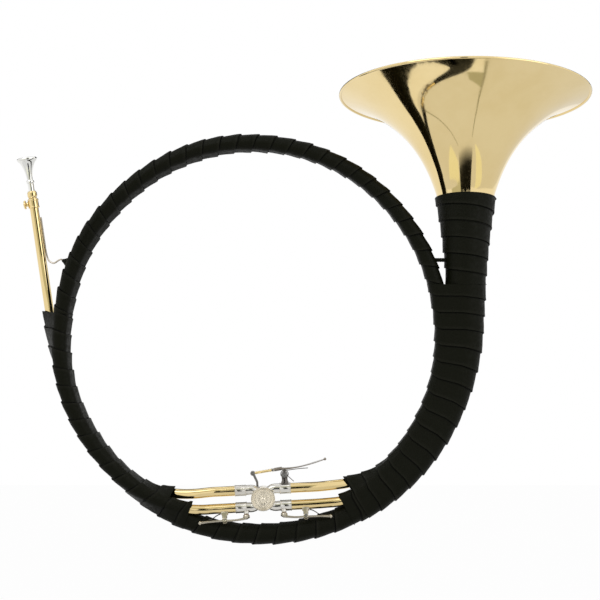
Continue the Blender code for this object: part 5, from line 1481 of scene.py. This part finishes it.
# Cards that only the polished metal mirrors: name, grey, fade between heights, corners.
# Corners without a height lie at this level, just over the floor.
CARD_LEVEL = -1.12
CARDS = (
    ("card_by_the_lens", 0.010, None, [(-0.347, -3.0, 2.4), (-0.002, -3.0, 2.4),
                                       (-0.002, -3.0, -1.14), (-0.347, -3.0, -1.14)]),
    ("card_at_mouthpiece", 0.010, None, [(-0.369, -0.075, 0.030), (-0.325, -0.075, 0.030),
                                         (-0.325, -0.075, -0.090), (-0.369, -0.075, -0.090)]),
    ("card_at_bell_neck", 0.008, (-0.070, -0.054), [
        (0.066, -0.175, -0.030), (0.183, -0.175, -0.030), (0.183, -0.175, -0.072),
        (0.066, -0.175, -0.072)]),
    ("card_left_grey", 0.60, None, [(-0.72, -0.5, 0.25), (-0.02, -0.5, 0.25),
                                    (-0.02, -0.5, -0.15), (-0.72, -0.5, -0.15)]),
    ("card_behind", 0.02, None, [(-1.6, 1.5, 0.14), (1.6, 1.5, 0.14), (1.6, 1.1, 1.1),
                                 (-1.6, 1.1, 1.1)]),
    ("card_edge_right", 0.35, None, [(0.320, 0.40), (0.345, 0.40), (0.425, -1.3),
                                     (0.400, -1.3)]),
    ("card_edge_left", 0.35, None, [(-0.715, 0.0), (-0.690, 0.0), (-0.500, -1.5),
                                    (-0.525, -1.5)]),
    ("card_under_bell", 0.50, None, [(0.19, 0.16), (0.33, 0.16), (0.345, -0.15),
                                     (0.26, -0.06), (0.20, 0.0)]),
    ("card_white_left", 1.0, None, [(-1.0, -1.2), (-3.4, -1.9), (-2.3, -3.5),
                                    (-4.7, -7.0), (-3.2, -7.0), (-0.95, -2.2)]),
    ("card_white_right", 1.0, None, [(0.66, -1.5), (1.9, -1.9), (3.8, -2.7),
                                     (5.6, -7.0), (4.0, -7.0), (2.4, -3.8)]),
)


def stage_plane(name, corners, material):
    mesh = bpy.data.meshes.new(name)
    mesh.from_pydata(corners, [], [tuple(range(len(corners)))])
    mesh.materials.append(material)
    thing = linked(name, mesh)
    return thing


def floor_paint():
    """Pale floor that shows white to the lens and keeps its shadow.

    In the metal it is white only on the board behind the horn, and a pale grey elsewhere.
    """
    recipe = Recipe("floor_paint")
    recipe.to_shader(base_color=(0.85, 0.85, 0.84), roughness=0.9)
    path = recipe.add("ShaderNodeLightPath").outputs
    place = recipe.add("ShaderNodeSeparateXYZ", {0: recipe.object_place}).outputs
    board = recipe.math("MULTIPLY", recipe.math("LESS_THAN", place[0], BOARD_SIDE),
                        recipe.math("GREATER_THAN", place[1], BOARD_FRONT))
    glossy = recipe.math("ADD", recipe.math("MULTIPLY", board, 1.0 - PALE_GREY), PALE_GREY)
    glow = recipe.add("ShaderNodeEmission", {
        "Strength": recipe.math("MAXIMUM", path["Is Camera Ray"], glossy)})
    seen = recipe.math("MAXIMUM", path["Is Camera Ray"], path["Is Glossy Ray"])
    mix = recipe.add("ShaderNodeMixShader", {0: recipe.math("MULTIPLY", seen, FLOOR_WHITE),
                                             1: recipe.shader.outputs[0],
                                             2: glow.outputs[0]})
    recipe.put(mix.outputs[0], recipe.tree.nodes["Material Output"].inputs["Surface"])
    return recipe.material


def card_paint(name, grey, fade=None):
    """Matt card; with a fade it thins out between two heights."""
    recipe = Recipe(name)
    if fade:
        place = recipe.add("ShaderNodeSeparateXYZ", {0: recipe.object_place}).outputs
        recipe.to_shader(alpha=recipe.ranged(place[2], *fade, 0.0, 1.0))
    return recipe.to_shader(base_color=(0.0, 0.0, 0.0), roughness=1.0,
                            specular_ior_level=0.0, emission_strength=1.0,
                            emission_color=(grey, grey, grey * CARD_WARMTH))


def set_studio():
    world = bpy.data.worlds.new("studio")
    bpy.context.scene.world = world
    world.use_nodes = True
    sky = Graph(world.node_tree)
    pale = sky.tree.nodes["Background"]
    sky.put((1.0, 1.0, 1.0), pale.inputs["Color"])
    sky.put(SKY_LEVEL, pale.inputs["Strength"])
    white = sky.add("ShaderNodeBackground", {"Color": (1.0, 1.0, 1.0), "Strength": 1.0})
    path = sky.add("ShaderNodeLightPath").outputs
    seen = path["Is Camera Ray"]
    for kind in ("Is Glossy Ray", "Is Transmission Ray"):
        seen = sky.math("MAXIMUM", seen, path[kind])
    mix = sky.add("ShaderNodeMixShader", {0: seen, 1: pale.outputs[0], 2: white.outputs[0]})
    sky.put(mix.outputs[0], sky.tree.nodes["World Output"].inputs["Surface"])
    stage_plane("floor", [(x, y, FLOOR_LEVEL) for x, y in ((-FLOOR_HALF, -FLOOR_HALF),
                                                           (FLOOR_HALF, -FLOOR_HALF),
                                                           (FLOOR_HALF, FLOOR_HALF),
                                                           (-FLOOR_HALF, FLOOR_HALF))],
                floor_paint())
    for name, place, size, power in LAMPS:
        light = bpy.data.lights.new(name, "AREA")
        light.shape = "SQUARE"
        light.size = size
        light.energy = power
        lamp = linked(name, light)
        lamp.location = place
        aim = Vector(LAMP_AIM) - Vector(place)
        lamp.rotation_euler = aim.to_track_quat("-Z", "Y").to_euler()
    for name, grey, fade, corners in CARDS:
        corners = [(*corner, CARD_LEVEL)[:3] for corner in corners]
        card = stage_plane(name, corners, card_paint(name + "_paint", grey, fade))
        card.visible_camera = False
        card.visible_diffuse = False
        card.visible_shadow = False
        card.visible_transmission = False


def set_camera():
    camera = bpy.data.cameras.new("camera")
    camera.lens = 100.0
    camera.sensor_width = 36.0
    camera.clip_end = 50.0
    viewer = linked("camera", camera)
    viewer.location = (-0.0568, -2.0, -0.1503)
    viewer.rotation_euler = (pi / 2, 0.0, 0.0)
    bpy.context.scene.camera = viewer
    bpy.context.scene.view_settings.view_transform = "Standard"


set_camera()
set_studio()
wind_leather()
bend_pipes()
spin_bell()
build_valve()
build_lever_work()
for key_side in ("left", "right"):
    build_water_key(key_side)
build_mouthpiece_end()
build_braces()

# The frame's own nodes that still show get the same finishes
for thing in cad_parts.values():
    for slot in thing.material_slots:
        if slot.material and slot.material.name.split(".")[0] in CARRIED:
            slot.material = CARRIED[slot.material.name.split(".")[0]]
